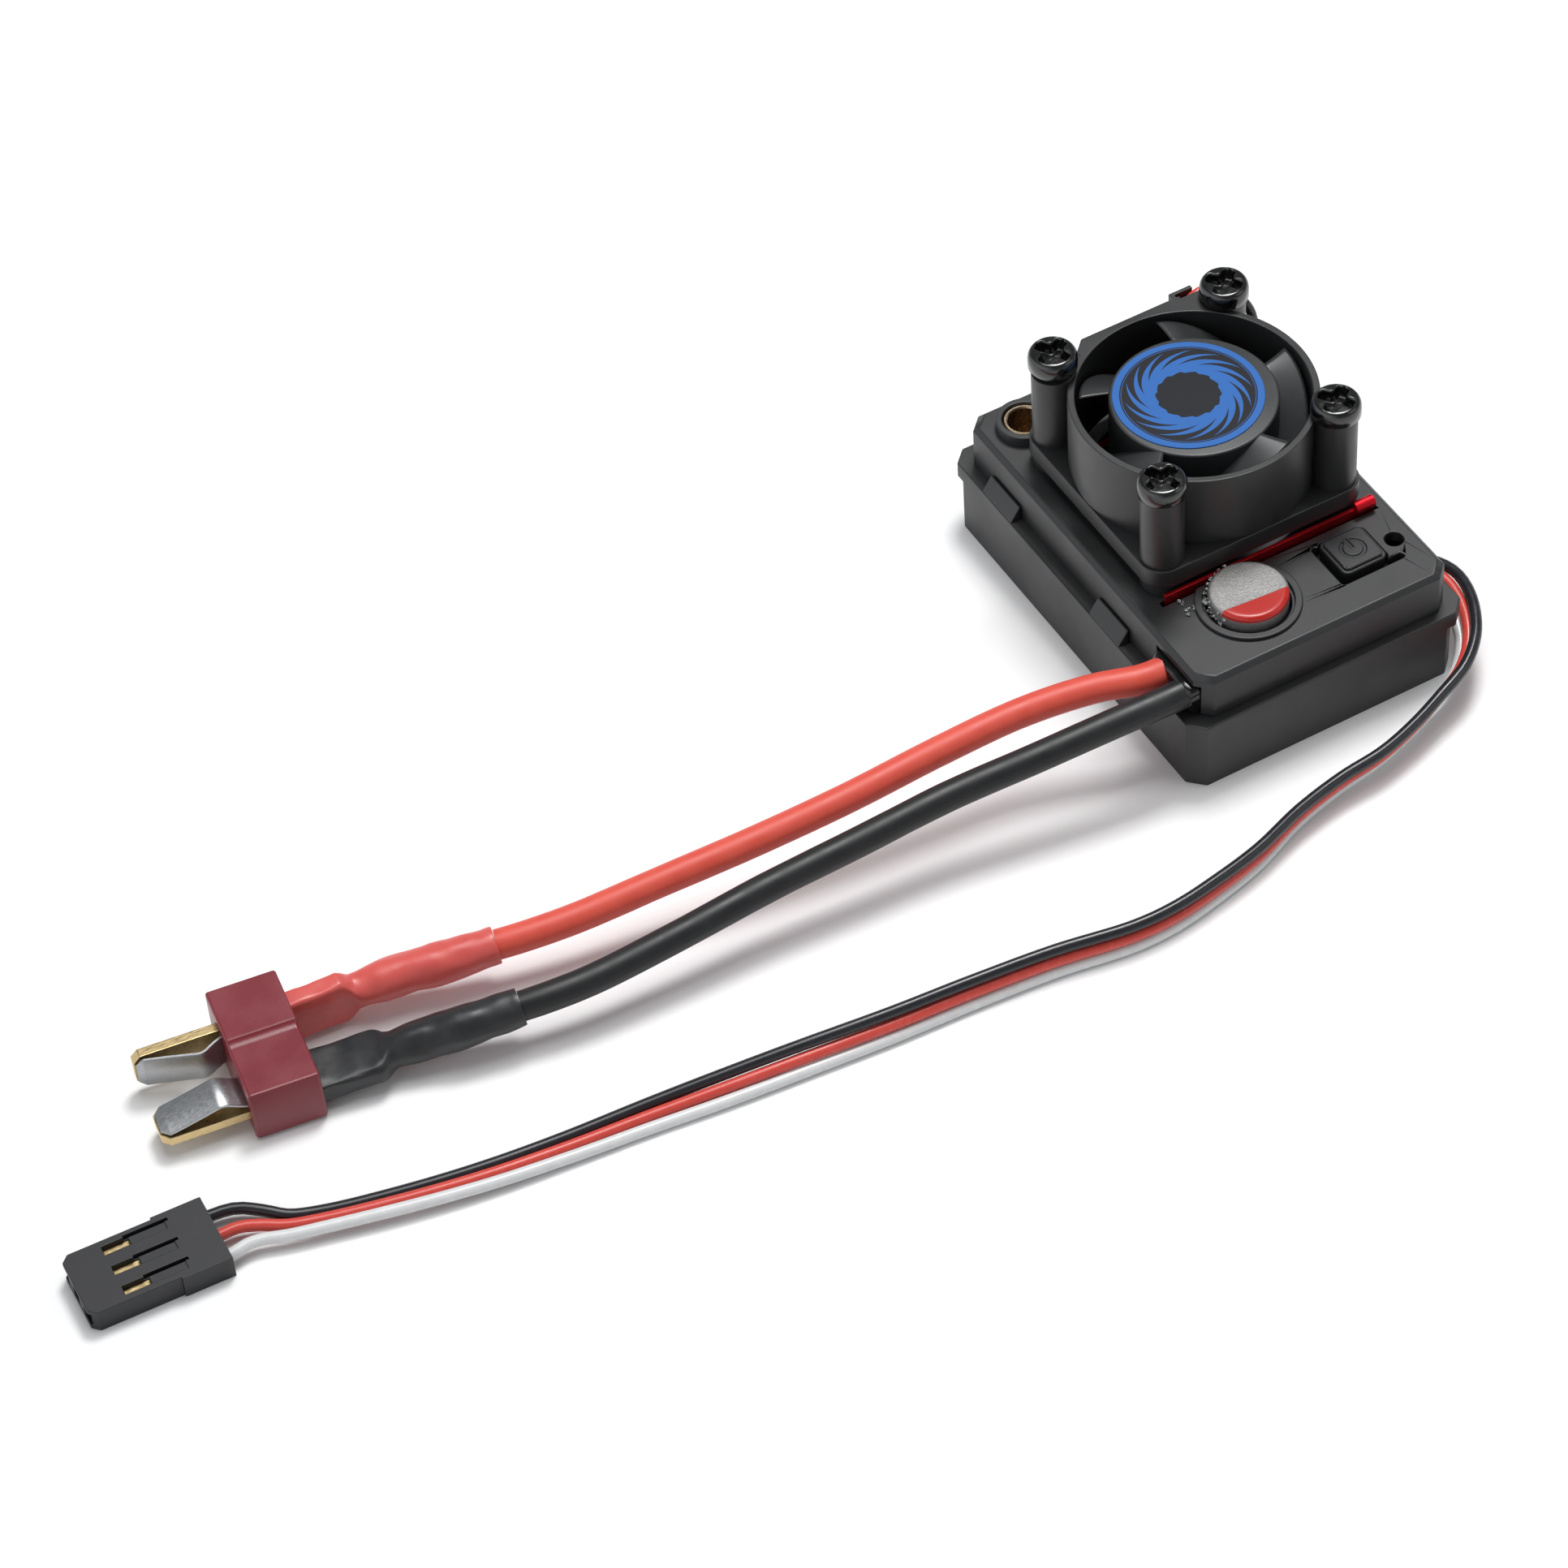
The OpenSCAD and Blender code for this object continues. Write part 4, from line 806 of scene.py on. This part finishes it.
def sleeveSkin(colour):
    look = sleeves[colour]
    knots = smoothRoute(look["route"], 0.25)
    start = knots[0]
    lead = headings(knots)[0]
    route = np.vstack([start, start + lead * 0.01, start + lead * 0.15, knots[2:]])
    stations = np.array(look["stations"])

    def ring(distance):
        wide, tall, power = (np.interp(distance, stations[:, 0], stations[:, c]) for c in (1, 2, 3))
        shape = squareRing(wide, tall, power)
        turns = (np.arange(len(shape)) + 0.5) * 2 * pi / len(shape)
        inner = min(1.0, distance)  # the cut end stays crisp
        for k, turn in enumerate(turns):
            slack = noise.noise(Vector((distance / 2.4, 1.3 * cos(turn), 1.3 * sin(turn) + len(colour))))
            shape[k] *= 1 + look["ripple"] * inner * min(slack, 0.25)
        return shape
    return skin("heat_shrink_" + colour + "_skin", route, ring)[0]


for colour, look in sleeves.items():
    node = "heat_shrink_" + colour
    addPiece(node + "_sleeve", sleeveSkin(colour), node, look["finish"])


# Moulded shells and pressed parts that keep their CAD shape, with rounded edges

roundedPieces = {
    "bottom_case": {"radius": 0.14, "finish": "grainedNylon", "name": "case_tub"},
    "top_cover": {"radius": 0.14, "finish": "coverNylon", "name": "case_cover"},
    "fan_frame": {"radius": 0.13, "finish": "fanPolyester", "name": "fan_housing"},
    "heat_sink": {"radius": 0.06, "finish": "redAnodisedExtrusion", "name": "sink_extrusion"},
    "tplug_housing": {"radius": 0.28, "finish": "plugNylon", "name": "plug_body", "steps": 3},
    "tplug_blades": {"radius": 0.1, "finish": "goldFlashedBrass", "name": "plug_blade_pair"},
    "receiver_plug": {"radius": 0.08, "finish": "receiverNylon", "name": "receiver_shell"},
    "receiver_contacts": {"radius": 0.06, "finish": "goldFlashedBrass", "name": "receiver_terminals"},
    "power_button": {"radius": 0.16, "finish": "buttonNylon", "name": "button_cap", "body": "button",
                     "steps": 3},
}
for node, look in roundedPieces.items():
    shape = roundedCopy(node, look["radius"], look.get("steps", 2))
    addPiece(look["name"], shape, node, look["finish"], look.get("body", "case"))


# Turned pieces: a profile of (radius, height) in mm spun about z

def turned(name, profile, centre, sharp=None, sides=96, cut=None):
    # sharp: the turn in degrees past which an edge stays crisp; cut: how far a spot sinks
    points = []
    for radius, height in profile:
        for k in range(sides):
            turn = 2 * pi * k / sides
            drop = cut(radius, turn, height) if cut else 0.0
            points.append((centre[0] + radius * mm * cos(turn), centre[1] + radius * mm * sin(turn),
                           centre[2] + (height - drop) * mm))
    faces = []
    for i in range(len(profile) - 1):
        for k in range(sides):
            m = (k + 1) % sides
            faces.append((i * sides + k, i * sides + m, (i + 1) * sides + m, (i + 1) * sides + k))
    mesh = smoothMesh(name, points, faces)
    if sharp:
        mesh.set_sharp_from_angle(angle=radians(sharp))
    return mesh


def arc(centre, radius, start, end, steps):
    # round part of a profile, angles in degrees
    return [(centre[0] + radius * cos(radians(start + (end - start) * i / steps)),
             centre[1] + radius * sin(radians(start + (end - start) * i / steps))) for i in range(steps + 1)]


capacitor = {
    "radius": 4.0, "edge": 0.5, "wall": 0.3,
    "groove": (2.2, 3.2), "grooveDepth": 0.18, "grooveSlope": 0.3,   # rolled round the can near its foot
}


def capacitorCan():
    low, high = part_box("capacitor_can")
    tall = (high.z - low.z) / mm
    r, e, wall = capacitor["radius"], capacitor["edge"], capacitor["wall"]
    profile = [(0, tall - 0.04), (r * 0.5, tall - 0.03), (r - e - 0.25, tall), (r - e, tall)]
    profile += arc((r - e, tall - e), e, 90, 0, 6)[1:]
    (start, end), waist, slope = capacitor["groove"], r - capacitor["grooveDepth"], capacitor["grooveSlope"]
    profile += [(r, end), (waist, end - slope), (waist, start + slope), (r, start)]
    profile += [(r, 0.1), (r - 0.1, 0), (r - wall, 0), (r - wall, tall - wall), (0, tall - wall)]
    centre = middle("capacitor_can")
    return turned("can_shell", profile, (centre.x, centre.y, low.z))


addPiece("can_shell", capacitorCan(), "capacitor_can", "sandedCan")

sticker = {"radius": 7.5, "thickness": 0.12, "edge": 0.04}


def stickerDisc():
    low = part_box("fan_label")[0]
    centre = middle("fan_label")
    r, t, e = sticker["radius"], sticker["thickness"], sticker["edge"]
    profile = [(0, 0), (r - e, 0), (r, e), (r, t - e), (r - e, t), (r * 0.5, t), (0, t)]
    return turned("sticker_disc", profile, (centre.x, centre.y, low.z), 40)


addPiece("sticker_disc", stickerDisc(), "fan_label", "printedSticker", "rotor")


# Fan rotor: a turned hub, and blades that one node tree grows round it

fanRotor = {
    "hub": 8.4, "hubWall": 0.8, "hubEdge": 0.25, "roof": 1.0,
    "boss": 1.7, "bossLength": 6.2,   # round the shaft, inside the hub
    "bladesBelow": 0.15,              # how far the blades stay under the hub's top
    "blades": 5, "root": 8.2, "tip": 11.25, "thickness": 0.6, "sweep": 56.0,
    "skew": 4.5, "drop": 6.0,
    "steepening": 1.5,                # the blade lies flatter at its leading edge
}


def newTree(name, inputs):
    # node tree for a modifier, with a geometry in and out and the named inputs
    tree = bpy.data.node_groups.new(name, "GeometryNodeTree")
    tree.interface.new_socket("Geometry", in_out="INPUT", socket_type="NodeSocketGeometry")
    for label, kind in inputs.items():
        tree.interface.new_socket(label, in_out="INPUT", socket_type="NodeSocket" + kind)
    tree.interface.new_socket("Geometry", in_out="OUTPUT", socket_type="NodeSocketGeometry")
    return tree, addNode(tree, "NodeGroupInput").outputs


def grown(base, tree, values):
    # the tree's result on a base mesh, as one plain mesh
    holder = holderOf(base)
    modifier = holder.modifiers.new("grow", "NODES")
    modifier.node_group = tree
    for item in tree.interface.items_tree:
        if item.item_type == "SOCKET" and item.in_out == "INPUT" and item.name in values:
            modifier[item.identifier] = values[item.name]
    return applied(holder)


def bladeTree():
    # a thin box is bent into one helical blade, set out round the axis and joined to the hub
    tree, given = newTree("bladesRoundHub", {
        "Blades": "Int", "Root": "Float", "Tip": "Float", "Top": "Float", "Drop": "Float",
        "Thickness": "Float", "Sweep": "Float", "Skew": "Float", "Steepening": "Float",
        "Axis": "Vector", "Finish": "Material",
    })
    blank = addNode(tree, "GeometryNodeMeshCube", {
        "Size": (1, 1, 1), "Vertices X": 12, "Vertices Y": 22, "Vertices Z": 4,
    }).outputs["Mesh"]
    spot = addNode(tree, "ShaderNodeSeparateXYZ", {0: addNode(tree, "GeometryNodeInputPosition").outputs[0]})
    radius = addNode(tree, "ShaderNodeMapRange", {
        "Value": spot.outputs["X"], "From Min": -0.5, "From Max": 0.5,
        "To Min": given["Root"], "To Max": given["Tip"],
    }).outputs[0]
    behind = addNode(tree, "ShaderNodeMath", {0: 0.5, 1: spot.outputs["Y"]}, operation="SUBTRACT",
                    use_clamp=True).outputs[0]
    fall = addNode(tree, "ShaderNodeMath", {0: behind, 1: given["Steepening"]}, operation="POWER").outputs[0]
    dropped = addNode(tree, "ShaderNodeMath", {0: fall, 1: given["Drop"]}, operation="MULTIPLY").outputs[0]
    sunk = addNode(tree, "ShaderNodeMath", {0: given["Top"], 1: dropped}, operation="SUBTRACT").outputs[0]
    back = addNode(tree, "ShaderNodeMath", {0: given["Sweep"], 1: -1.0}, operation="MULTIPLY").outputs[0]
    helix = addNode(tree, "ShaderNodeMapRange", {
        "Value": spot.outputs["Y"], "From Min": -0.5, "From Max": 0.5, "To Min": back, "To Max": 0.0,
    }).outputs[0]
    lean = addNode(tree, "ShaderNodeMapRange", {
        "Value": spot.outputs["X"], "From Min": -0.5, "From Max": 0.5, "To Min": 0.0, "To Max": given["Skew"],
    }).outputs[0]
    # a blade's edges are 0.4 as thick as its middle
    bow = addNode(tree, "ShaderNodeMath", {0: spot.outputs["Y"], 1: pi}, operation="MULTIPLY").outputs[0]
    bowed = addNode(tree, "ShaderNodeMath", {0: bow}, operation="COSINE").outputs[0]
    taper = addNode(tree, "ShaderNodeMath", {0: bowed, 1: 0.6, 2: 0.4}, operation="MULTIPLY_ADD").outputs[0]
    thick = addNode(tree, "ShaderNodeMath", {0: given["Thickness"], 1: taper},
                    operation="MULTIPLY").outputs[0]
    offset = addNode(tree, "ShaderNodeMath", {0: spot.outputs["Z"], 1: thick},
                     operation="MULTIPLY").outputs[0]
    raised = addNode(tree, "ShaderNodeMath", {0: sunk, 1: offset}, operation="ADD").outputs[0]
    along = addNode(tree, "ShaderNodeCombineXYZ", {"X": radius, "Y": offset, "Z": raised}).outputs[0]
    turn = addNode(tree, "ShaderNodeMath", {0: helix, 1: lean}, operation="ADD").outputs[0]
    bent = addNode(tree, "ShaderNodeVectorRotate", {"Vector": along, "Angle": turn},
                   rotation_type="Z_AXIS").outputs[0]
    blade = addNode(tree, "GeometryNodeSetPosition", {"Geometry": blank, "Position": bent}).outputs[0]
    centre = addNode(tree, "GeometryNodePoints", {
        "Count": given["Blades"], "Position": given["Axis"],
    }).outputs[0]
    order = addNode(tree, "GeometryNodeInputIndex").outputs[0]
    share = addNode(tree, "ShaderNodeMath", {0: order, 1: given["Blades"]}, operation="DIVIDE").outputs[0]
    spread = addNode(tree, "ShaderNodeMath", {0: share, 1: 2 * pi}, operation="MULTIPLY").outputs[0]
    facing = addNode(tree, "ShaderNodeCombineXYZ", {"Z": spread}).outputs[0]
    ring = addNode(tree, "GeometryNodeInstanceOnPoints", {
        "Points": centre, "Instance": blade, "Rotation": facing,
    }).outputs[0]
    smooth = addNode(tree, "GeometryNodeSetShadeSmooth", {
        "Geometry": addNode(tree, "GeometryNodeRealizeInstances", {"Geometry": ring}).outputs[0],
    }).outputs[0]
    joined = addNode(tree, "GeometryNodeJoinGeometry", {"Geometry": smooth})
    tree.links.new(given["Geometry"], joined.inputs[0])
    whole = addNode(tree, "GeometryNodeRealizeInstances", {"Geometry": joined.outputs[0]}).outputs[0]
    painted = addNode(tree, "GeometryNodeSetMaterial", {"Geometry": whole, "Material": given["Finish"]})
    addNode(tree, "NodeGroupOutput", {0: painted.outputs[0]})
    return tree


def rotorMesh():
    low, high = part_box("fan_rotor")
    axis = middle("fan_rotor")
    r, wall, edge = fanRotor["hub"], fanRotor["hubWall"], fanRotor["hubEdge"]
    bottom = low.z / mm
    top = high.z / mm
    hub = [(r - wall, bottom), (r, bottom)]
    hub += arc((r - edge, top - edge), edge, 0, 90, 5)
    boss, foot, roof = fanRotor["boss"], top - fanRotor["bossLength"], top - fanRotor["roof"]
    hub += [(0, top), (0, foot), (0.75, foot), (boss, foot), (boss, roof)]   # down the boss and back
    hub += [(r - wall, roof), (r - wall, bottom)]
    return grown(turned("hub_cup", hub, (axis.x, axis.y, 0), 40), bladeTree(), {
        "Blades": fanRotor["blades"], "Root": fanRotor["root"] * mm, "Tip": fanRotor["tip"] * mm,
        "Top": (top - fanRotor["bladesBelow"]) * mm, "Drop": fanRotor["drop"] * mm,
        "Thickness": fanRotor["thickness"] * mm,
        "Sweep": radians(fanRotor["sweep"]), "Skew": radians(fanRotor["skew"]),
        "Steepening": fanRotor["steepening"],
        "Axis": (axis.x, axis.y, 0.0), "Finish": finishes["bladePolyester"],
    })


addPiece("fan_impeller", rotorMesh(), "fan_rotor", None, "rotor")
print("fan rotor grown")


# Screws and sockets: one shape each, set out by a node tree

def setOutTree():
    # repeats one piece at every point, each turned a step further about z
    tree, given = newTree("piecesAtPlaces", {"Piece": "Object", "Turn step": "Float", "Finish": "Material"})
    piece = addNode(tree, "GeometryNodeObjectInfo", {"Object": given["Piece"]}).outputs["Geometry"]
    order = addNode(tree, "GeometryNodeInputIndex").outputs[0]
    turn = addNode(tree, "ShaderNodeMath", {0: order, 1: given["Turn step"]}, operation="MULTIPLY").outputs[0]
    facing = addNode(tree, "ShaderNodeCombineXYZ", {"Z": turn}).outputs[0]
    row = addNode(tree, "GeometryNodeInstanceOnPoints", {
        "Points": given["Geometry"], "Instance": piece, "Rotation": facing,
    }).outputs[0]
    whole = addNode(tree, "GeometryNodeRealizeInstances", {"Geometry": row}).outputs[0]
    painted = addNode(tree, "GeometryNodeSetMaterial", {"Geometry": whole, "Material": given["Finish"]})
    addNode(tree, "NodeGroupOutput", {0: painted.outputs[0]})
    return tree


setOut = setOutTree()


def repeated(name, shape, places, finish, turnStep=0.0):
    # the shape at every place, as one mesh
    base = bpy.data.meshes.new(name)
    base.from_pydata([tuple(place) for place in places], [], [])
    pattern = holderOf(shape)
    mesh = grown(base, setOut, {"Piece": pattern, "Turn step": turnStep, "Finish": finishes[finish]})
    bpy.data.objects.remove(pattern)
    return mesh


fanScrew = {
    "head": 2.5, "crown": 1.9, "shank": 1.0, "pitch": 20.0, "middle": (0, 2.2),
    "shoulder": [(2.14, 1.77), (2.27, 1.66), (2.38, 1.49), (2.45, 1.26)],   # from the crown to the side
    "lifts": [0, 0.8, 0, 0],   # the back left one is not driven fully home
    "seat": 25.5, "tip": 5.5, "turnStep": 0.12,    # each is driven a little further round, radians
    "arm": 1.86, "armHalf": 0.66, "armCorner": 0.4, "depth": 1.25, "armTurn": 19.0,
    "armBlend": 0.5, "slope": 0.34, "lip": 0.08,   # how the recess's inner corners and rim run out
    "brim": 1.2,                                   # the recess cuts only the crown above this height
}


def crossRecess(radius, turn, height):
    # depth of the cross recess at a spot on the head
    if height < fanScrew["brim"]:
        return 0.0
    x = radius * cos(turn - radians(fanScrew["armTurn"]))
    y = radius * sin(turn - radians(fanScrew["armTurn"]))
    corner = fanScrew["armCorner"]
    gaps = []
    for a, b in ((abs(x), abs(y)), (abs(y), abs(x))):
        u = a - fanScrew["arm"] + corner
        v = b - fanScrew["armHalf"] + corner
        gaps.append(np.hypot(max(u, 0), max(v, 0)) + min(max(u, v), 0) - corner)
    blend = fanScrew["armBlend"]
    mix = max(blend - abs(gaps[0] - gaps[1]), 0) / blend
    gap = min(gaps) - mix * mix * blend / 4
    fall = min(max((fanScrew["lip"] - gap) / fanScrew["slope"], 0), 1)
    return fanScrew["depth"] * fall * fall * (3 - 2 * fall)


def screwShape():
    crown, head = fanScrew["crown"], fanScrew["head"]
    rows = [(r, crown - 0.02 * r * r) for r in np.linspace(0, 2.0, 30)]
    rows += fanScrew["shoulder"] + [(head, 0.95), (head, 0.1), (head - 0.08, 0.0)]
    shank, depth = fanScrew["shank"], fanScrew["seat"] - fanScrew["tip"]
    rows += [(shank, 0.0), (shank, -0.3), (shank, 0.4 - depth), (shank - 0.3, -depth), (0, -depth)]
    return turned("screw_shape", rows, (0, 0, 0), 60, 112, crossRecess)


half = fanScrew["pitch"] / 2
x, y = fanScrew["middle"]
screwPlaces = []
for sx in (-1, 1):
    for sy in (-1, 1):
        seat = fanScrew["seat"] + fanScrew["lifts"][len(screwPlaces)]
        screwPlaces.append(((x + sx * half) * mm, (y + sy * half) * mm, seat * mm))
screwRow = repeated("fan_screw_set", screwShape(), screwPlaces, "blackOxideSteel", fanScrew["turnStep"])
addPiece("fan_screw_set", screwRow, "fan_screws")

motorSocket = {"outer": 2.2, "bore": 1.75, "depth": 9.0, "edge": 0.12, "pitch": 10.1, "row": 17.75}


def socketShape():
    low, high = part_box("motor_sockets")
    tall = (high.z - low.z) / mm
    r, bore, e = motorSocket["outer"], motorSocket["bore"], motorSocket["edge"]
    floor = tall - motorSocket["depth"]
    rows = [(0, 0), (r - 0.1, 0), (r, 0.1), (r, tall - e), (r - e, tall), (bore + e, tall), (bore, tall - e),
            (bore, floor + 0.1), (bore - 0.1, floor), (0, floor)]
    return turned("socket_shape", rows, (0, 0, 0), 30, 64)


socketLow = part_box("motor_sockets")[0].z
socketPlaces = [(i * motorSocket["pitch"] * mm, motorSocket["row"] * mm, socketLow) for i in (-1, 0, 1)]
addPiece("motor_socket_row", repeated("motor_socket_row", socketShape(), socketPlaces, "turnedBrass"),
         "motor_sockets")
print("screws and sockets set out")


# Contact springs of the plug: bowed strips lying on the blades

plug = {"at": (-108.7, -6.6), "turn": 172.0, "half": 3.5}
plugSpring = {
    "width": 3.6, "thickness": 0.28,
    "edge": 0.12, "edgeFrom": 0.75,                # edge's width, and where it starts as a share of thickness
    "flatMiddle": 3.5, "flatTop": 2.7,             # the flat blade in the plug's own axes
    "uprightFace": -3.0, "uprightMiddle": 3.25,    # the upright one
    # distance from the housing and height over the blade
    "bow": [(0.05, 0.55), (0.9, 0.95), (2.0, 1.55), (2.5, 1.62), (3.1, 1.45), (5.4, 0.78), (7.7, 0.2),
            (8.35, 0.12)],
    "tipCut": 0.7,
}


def springShape(toPlug):
    # toPlug(x, across, height) gives a point in the plug's own axes, mm
    bow = smoothRoute([(x + plug["half"], 0, z) for x, z in plugSpring["bow"]], 0.15)
    ahead = headings(bow)
    lift = np.stack([-ahead[:, 2], np.zeros(len(bow)), ahead[:, 0]], axis=1)
    turn = radians(plug["turn"])
    points = []
    end = bow[-1][0]
    t, edge = plugSpring["thickness"], plugSpring["edge"]
    side = t * plugSpring["edgeFrom"]
    for spot, up in zip(bow, lift):
        cutBack = max(0, plugSpring["tipCut"] - (end - spot[0]))
        wide = plugSpring["width"] / 2 - cutBack
        inner = wide - edge
        for across, over in ((-wide, 0), (wide, 0), (wide, side), (inner, t), (-inner, t), (-wide, side)):
            p = spot + up * over
            x, y, z = toPlug(p[0], across, p[2])
            points.append(((plug["at"][0] + x * cos(turn) - y * sin(turn)) * mm,
                           (plug["at"][1] + x * sin(turn) + y * cos(turn)) * mm, z * mm))
    faces = []
    for i in range(len(bow) - 1):
        for k in range(6):
            m = (k + 1) % 6
            faces.append((i * 6 + k, i * 6 + m, i * 6 + 6 + m, i * 6 + 6 + k))
    faces.append(tuple(range(6)))
    faces.append(tuple(len(points) - 6 + k for k in reversed(range(6))))
    return points, faces


def springPair():
    # one spring lies over the flat blade, the other stands beside the upright blade
    flat, top = plugSpring["flatMiddle"], plugSpring["flatTop"]
    wall, upright = plugSpring["uprightFace"], plugSpring["uprightMiddle"]
    flatPoints, faces = springShape(lambda x, across, height: (x, flat + across, top + height))
    tallPoints = springShape(lambda x, across, height: (x, wall + height, upright - across))[0]
    shifted = [tuple(len(flatPoints) + v for v in face) for face in faces]
    mesh = smoothMesh("plug_spring_pair", flatPoints + tallPoints, faces + shifted)
    mesh.set_sharp_from_angle(angle=radians(40))
    return mesh


springPiece = addPiece("plug_spring_pair", springPair(), "tplug_springs", "tinnedSpringSteel")


# Potting: a poured block with soft corners that creeps up each lead where it comes out

pottings = {
    "lead_seal": {
        "name": "lead_potting", "outward": -1, "leadRadius": 1.5, "corner": 6.0,
        "leads": [(-15.8, 10.4), (-19.4, 10.4)],      # y and z of each lead
        "creep": 0.55, "reach": 0.7, "lump": 0.12, "patch": 1.5,
    },
    "receiver_lead_seal": {
        "name": "receiver_potting", "outward": 1, "leadRadius": 0.6, "corner": 5.0,
        "leads": [(-14.75, 5.2), (-13.5, 5.2), (-12.25, 5.2)],
        "creep": 0.3, "reach": 0.35, "lump": 0.06, "patch": 0.8,
    },
}


def pottingShape(node, look):
    low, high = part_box(node)
    centre = (low + high) / 2
    half = (high - low) / 2
    work = bmesh.new()
    bmesh.ops.create_cube(work, size=2.0)
    bmesh.ops.subdivide_edges(work, edges=work.edges, cuts=26, use_grid_fill=True)
    for vertex in work.verts:
        power = look["corner"]
        norm = sum(abs(c) ** power for c in vertex.co) ** (1 / power)
        spot = Vector(c / norm * h for c, h in zip(vertex.co, half))
        if spot.x * look["outward"] > 0.5 * half.x:
            creep = 0.0
            for y, z in look["leads"]:
                gap = Vector((spot.y + centre.y - y * mm, spot.z + centre.z - z * mm)).length / mm
                creep += look["creep"] * np.exp(-max(gap - look["leadRadius"], 0) / look["reach"])
            lump = noise.noise((spot + centre) / (look["patch"] * mm)) * look["lump"]
            spot.x += look["outward"] * (min(creep, look["creep"]) + lump) * mm
        vertex.co = spot + centre
    mesh = bpy.data.meshes.new(look["name"])
    work.to_mesh(mesh)
    work.free()
    mesh.shade_smooth()
    return mesh


for node, look in pottings.items():
    addPiece(look["name"], pottingShape(node, look), node, "blackPotting")


# Glue round the can: small clear granules that squeezed out along its back edge

glueDrops = {
    "count": 34, "from": 85.0, "to": 205.0,      # round the can, degrees
    "gap": 0.12, "spread": 0.35,                 # off its wall, then outwards at random, mm
    "lift": 0.1, "rise": 1.5,                    # over the deck, then upwards at random
    "strays": 9, "strayLift": 0.15,              # lying on the deck beside it
    "size": (0.14, 0.34), "seed": 11,
}


def dropTree():
    # clear beads of random size and turn at every place
    tree, given = newTree("beadsAtPlaces", {
        "Small": "Float", "Large": "Float", "Seed": "Int", "Finish": "Material",
    })
    bead = addNode(tree, "GeometryNodeMeshIcoSphere", {"Radius": 0.5, "Subdivisions": 3}).outputs["Mesh"]
    where = addNode(tree, "GeometryNodeInputPosition").outputs[0]
    ripple = addNode(tree, "ShaderNodeTexNoise", {"Vector": where, "Scale": 2.2, "Detail": 1.0}).outputs[0]
    outward = addNode(tree, "GeometryNodeInputNormal").outputs[0]
    bulge = addNode(tree, "ShaderNodeMath", {0: ripple, 1: 0.5}, operation="SUBTRACT").outputs[0]
    push = addNode(tree, "ShaderNodeVectorMath", {0: outward, "Scale": bulge}, operation="SCALE").outputs[0]
    lumpy = addNode(tree, "GeometryNodeSetPosition", {"Geometry": bead, "Offset": push}).outputs[0]
    size = addNode(tree, "FunctionNodeRandomValue", {
        2: given["Small"], 3: given["Large"], "Seed": given["Seed"],
    }, data_type="FLOAT").outputs[1]
    turn = addNode(tree, "FunctionNodeRandomValue", {
        0: (0, 0, 0), 1: (6.28, 6.28, 6.28), "Seed": given["Seed"],
    }, data_type="FLOAT_VECTOR").outputs[0]
    beads = addNode(tree, "GeometryNodeInstanceOnPoints", {
        "Points": given["Geometry"], "Instance": lumpy, "Scale": size, "Rotation": turn,
    }).outputs[0]
    whole = addNode(tree, "GeometryNodeRealizeInstances", {"Geometry": beads}).outputs[0]
    smooth = addNode(tree, "GeometryNodeSetShadeSmooth", {"Geometry": whole}).outputs[0]
    painted = addNode(tree, "GeometryNodeSetMaterial", {"Geometry": smooth, "Material": given["Finish"]})
    addNode(tree, "NodeGroupOutput", {0: painted.outputs[0]})
    return tree


def glueMesh():
    rng = np.random.default_rng(glueDrops["seed"])
    axis = middle("capacitor_can")
    low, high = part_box("capacitor_glue")
    places = []
    for i in range(glueDrops["count"]):
        turn = radians(glueDrops["from"] + (glueDrops["to"] - glueDrops["from"]) * i / glueDrops["count"])
        out = (capacitor["radius"] + glueDrops["gap"] + glueDrops["spread"] * rng.random() ** 2) * mm
        up = (glueDrops["lift"] + glueDrops["rise"] * rng.random()) * mm
        places.append((axis.x + out * cos(turn), axis.y + out * sin(turn), low.z + up))
    for _ in range(glueDrops["strays"]):
        x = low.x + (high.x - low.x) * rng.random()
        y = low.y + (high.y - low.y) * rng.random()
        places.append((x, y, low.z + glueDrops["strayLift"] * mm))
    base = bpy.data.meshes.new("glue_granules")
    base.from_pydata(places, [], [])
    return grown(base, dropTree(), {
        "Small": glueDrops["size"][0] * mm, "Large": glueDrops["size"][1] * mm, "Seed": glueDrops["seed"],
        "Finish": finishes["clearGlue"],
    })


addPiece("glue_granules", glueMesh(), "capacitor_glue")
print("potting and glue set")


# Pieces that keep their CAD shape and take their finish

plainFinishes = {
    "padSilicone": ["thermal_pad"],
    "coatedBoard": ["power_board", "control_board", "fan_circuit_board"],
    "chipEpoxy": ["power_transistors", "driver_chips", "controller_chip"],
    "goldFlashedBrass": ["board_pins"],
    "switchNylon": ["button_switch"],
    "plungerNylon": ["switch_plunger"],
    "lightLens": ["status_led"],
    "sealRubber": ["capacitor_seal"],
    "tinnedWire": ["capacitor_legs"],
    "bareCopper": ["battery_terminals"],
    "headerNylon": ["receiver_header"],
    "sinteredMagnet": ["fan_magnet_ring"],
    "drawnSteel": ["fan_shaft"],
    "sinteredBronze": ["fan_bearing"],
    "laminatedSteel": ["fan_stator"],
    "enamelledCopper": ["fan_coils"],
}
for finish, nodes in plainFinishes.items():
    for node in nodes:
        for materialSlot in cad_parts[node].material_slots:
            materialSlot.material = finishes[finish]
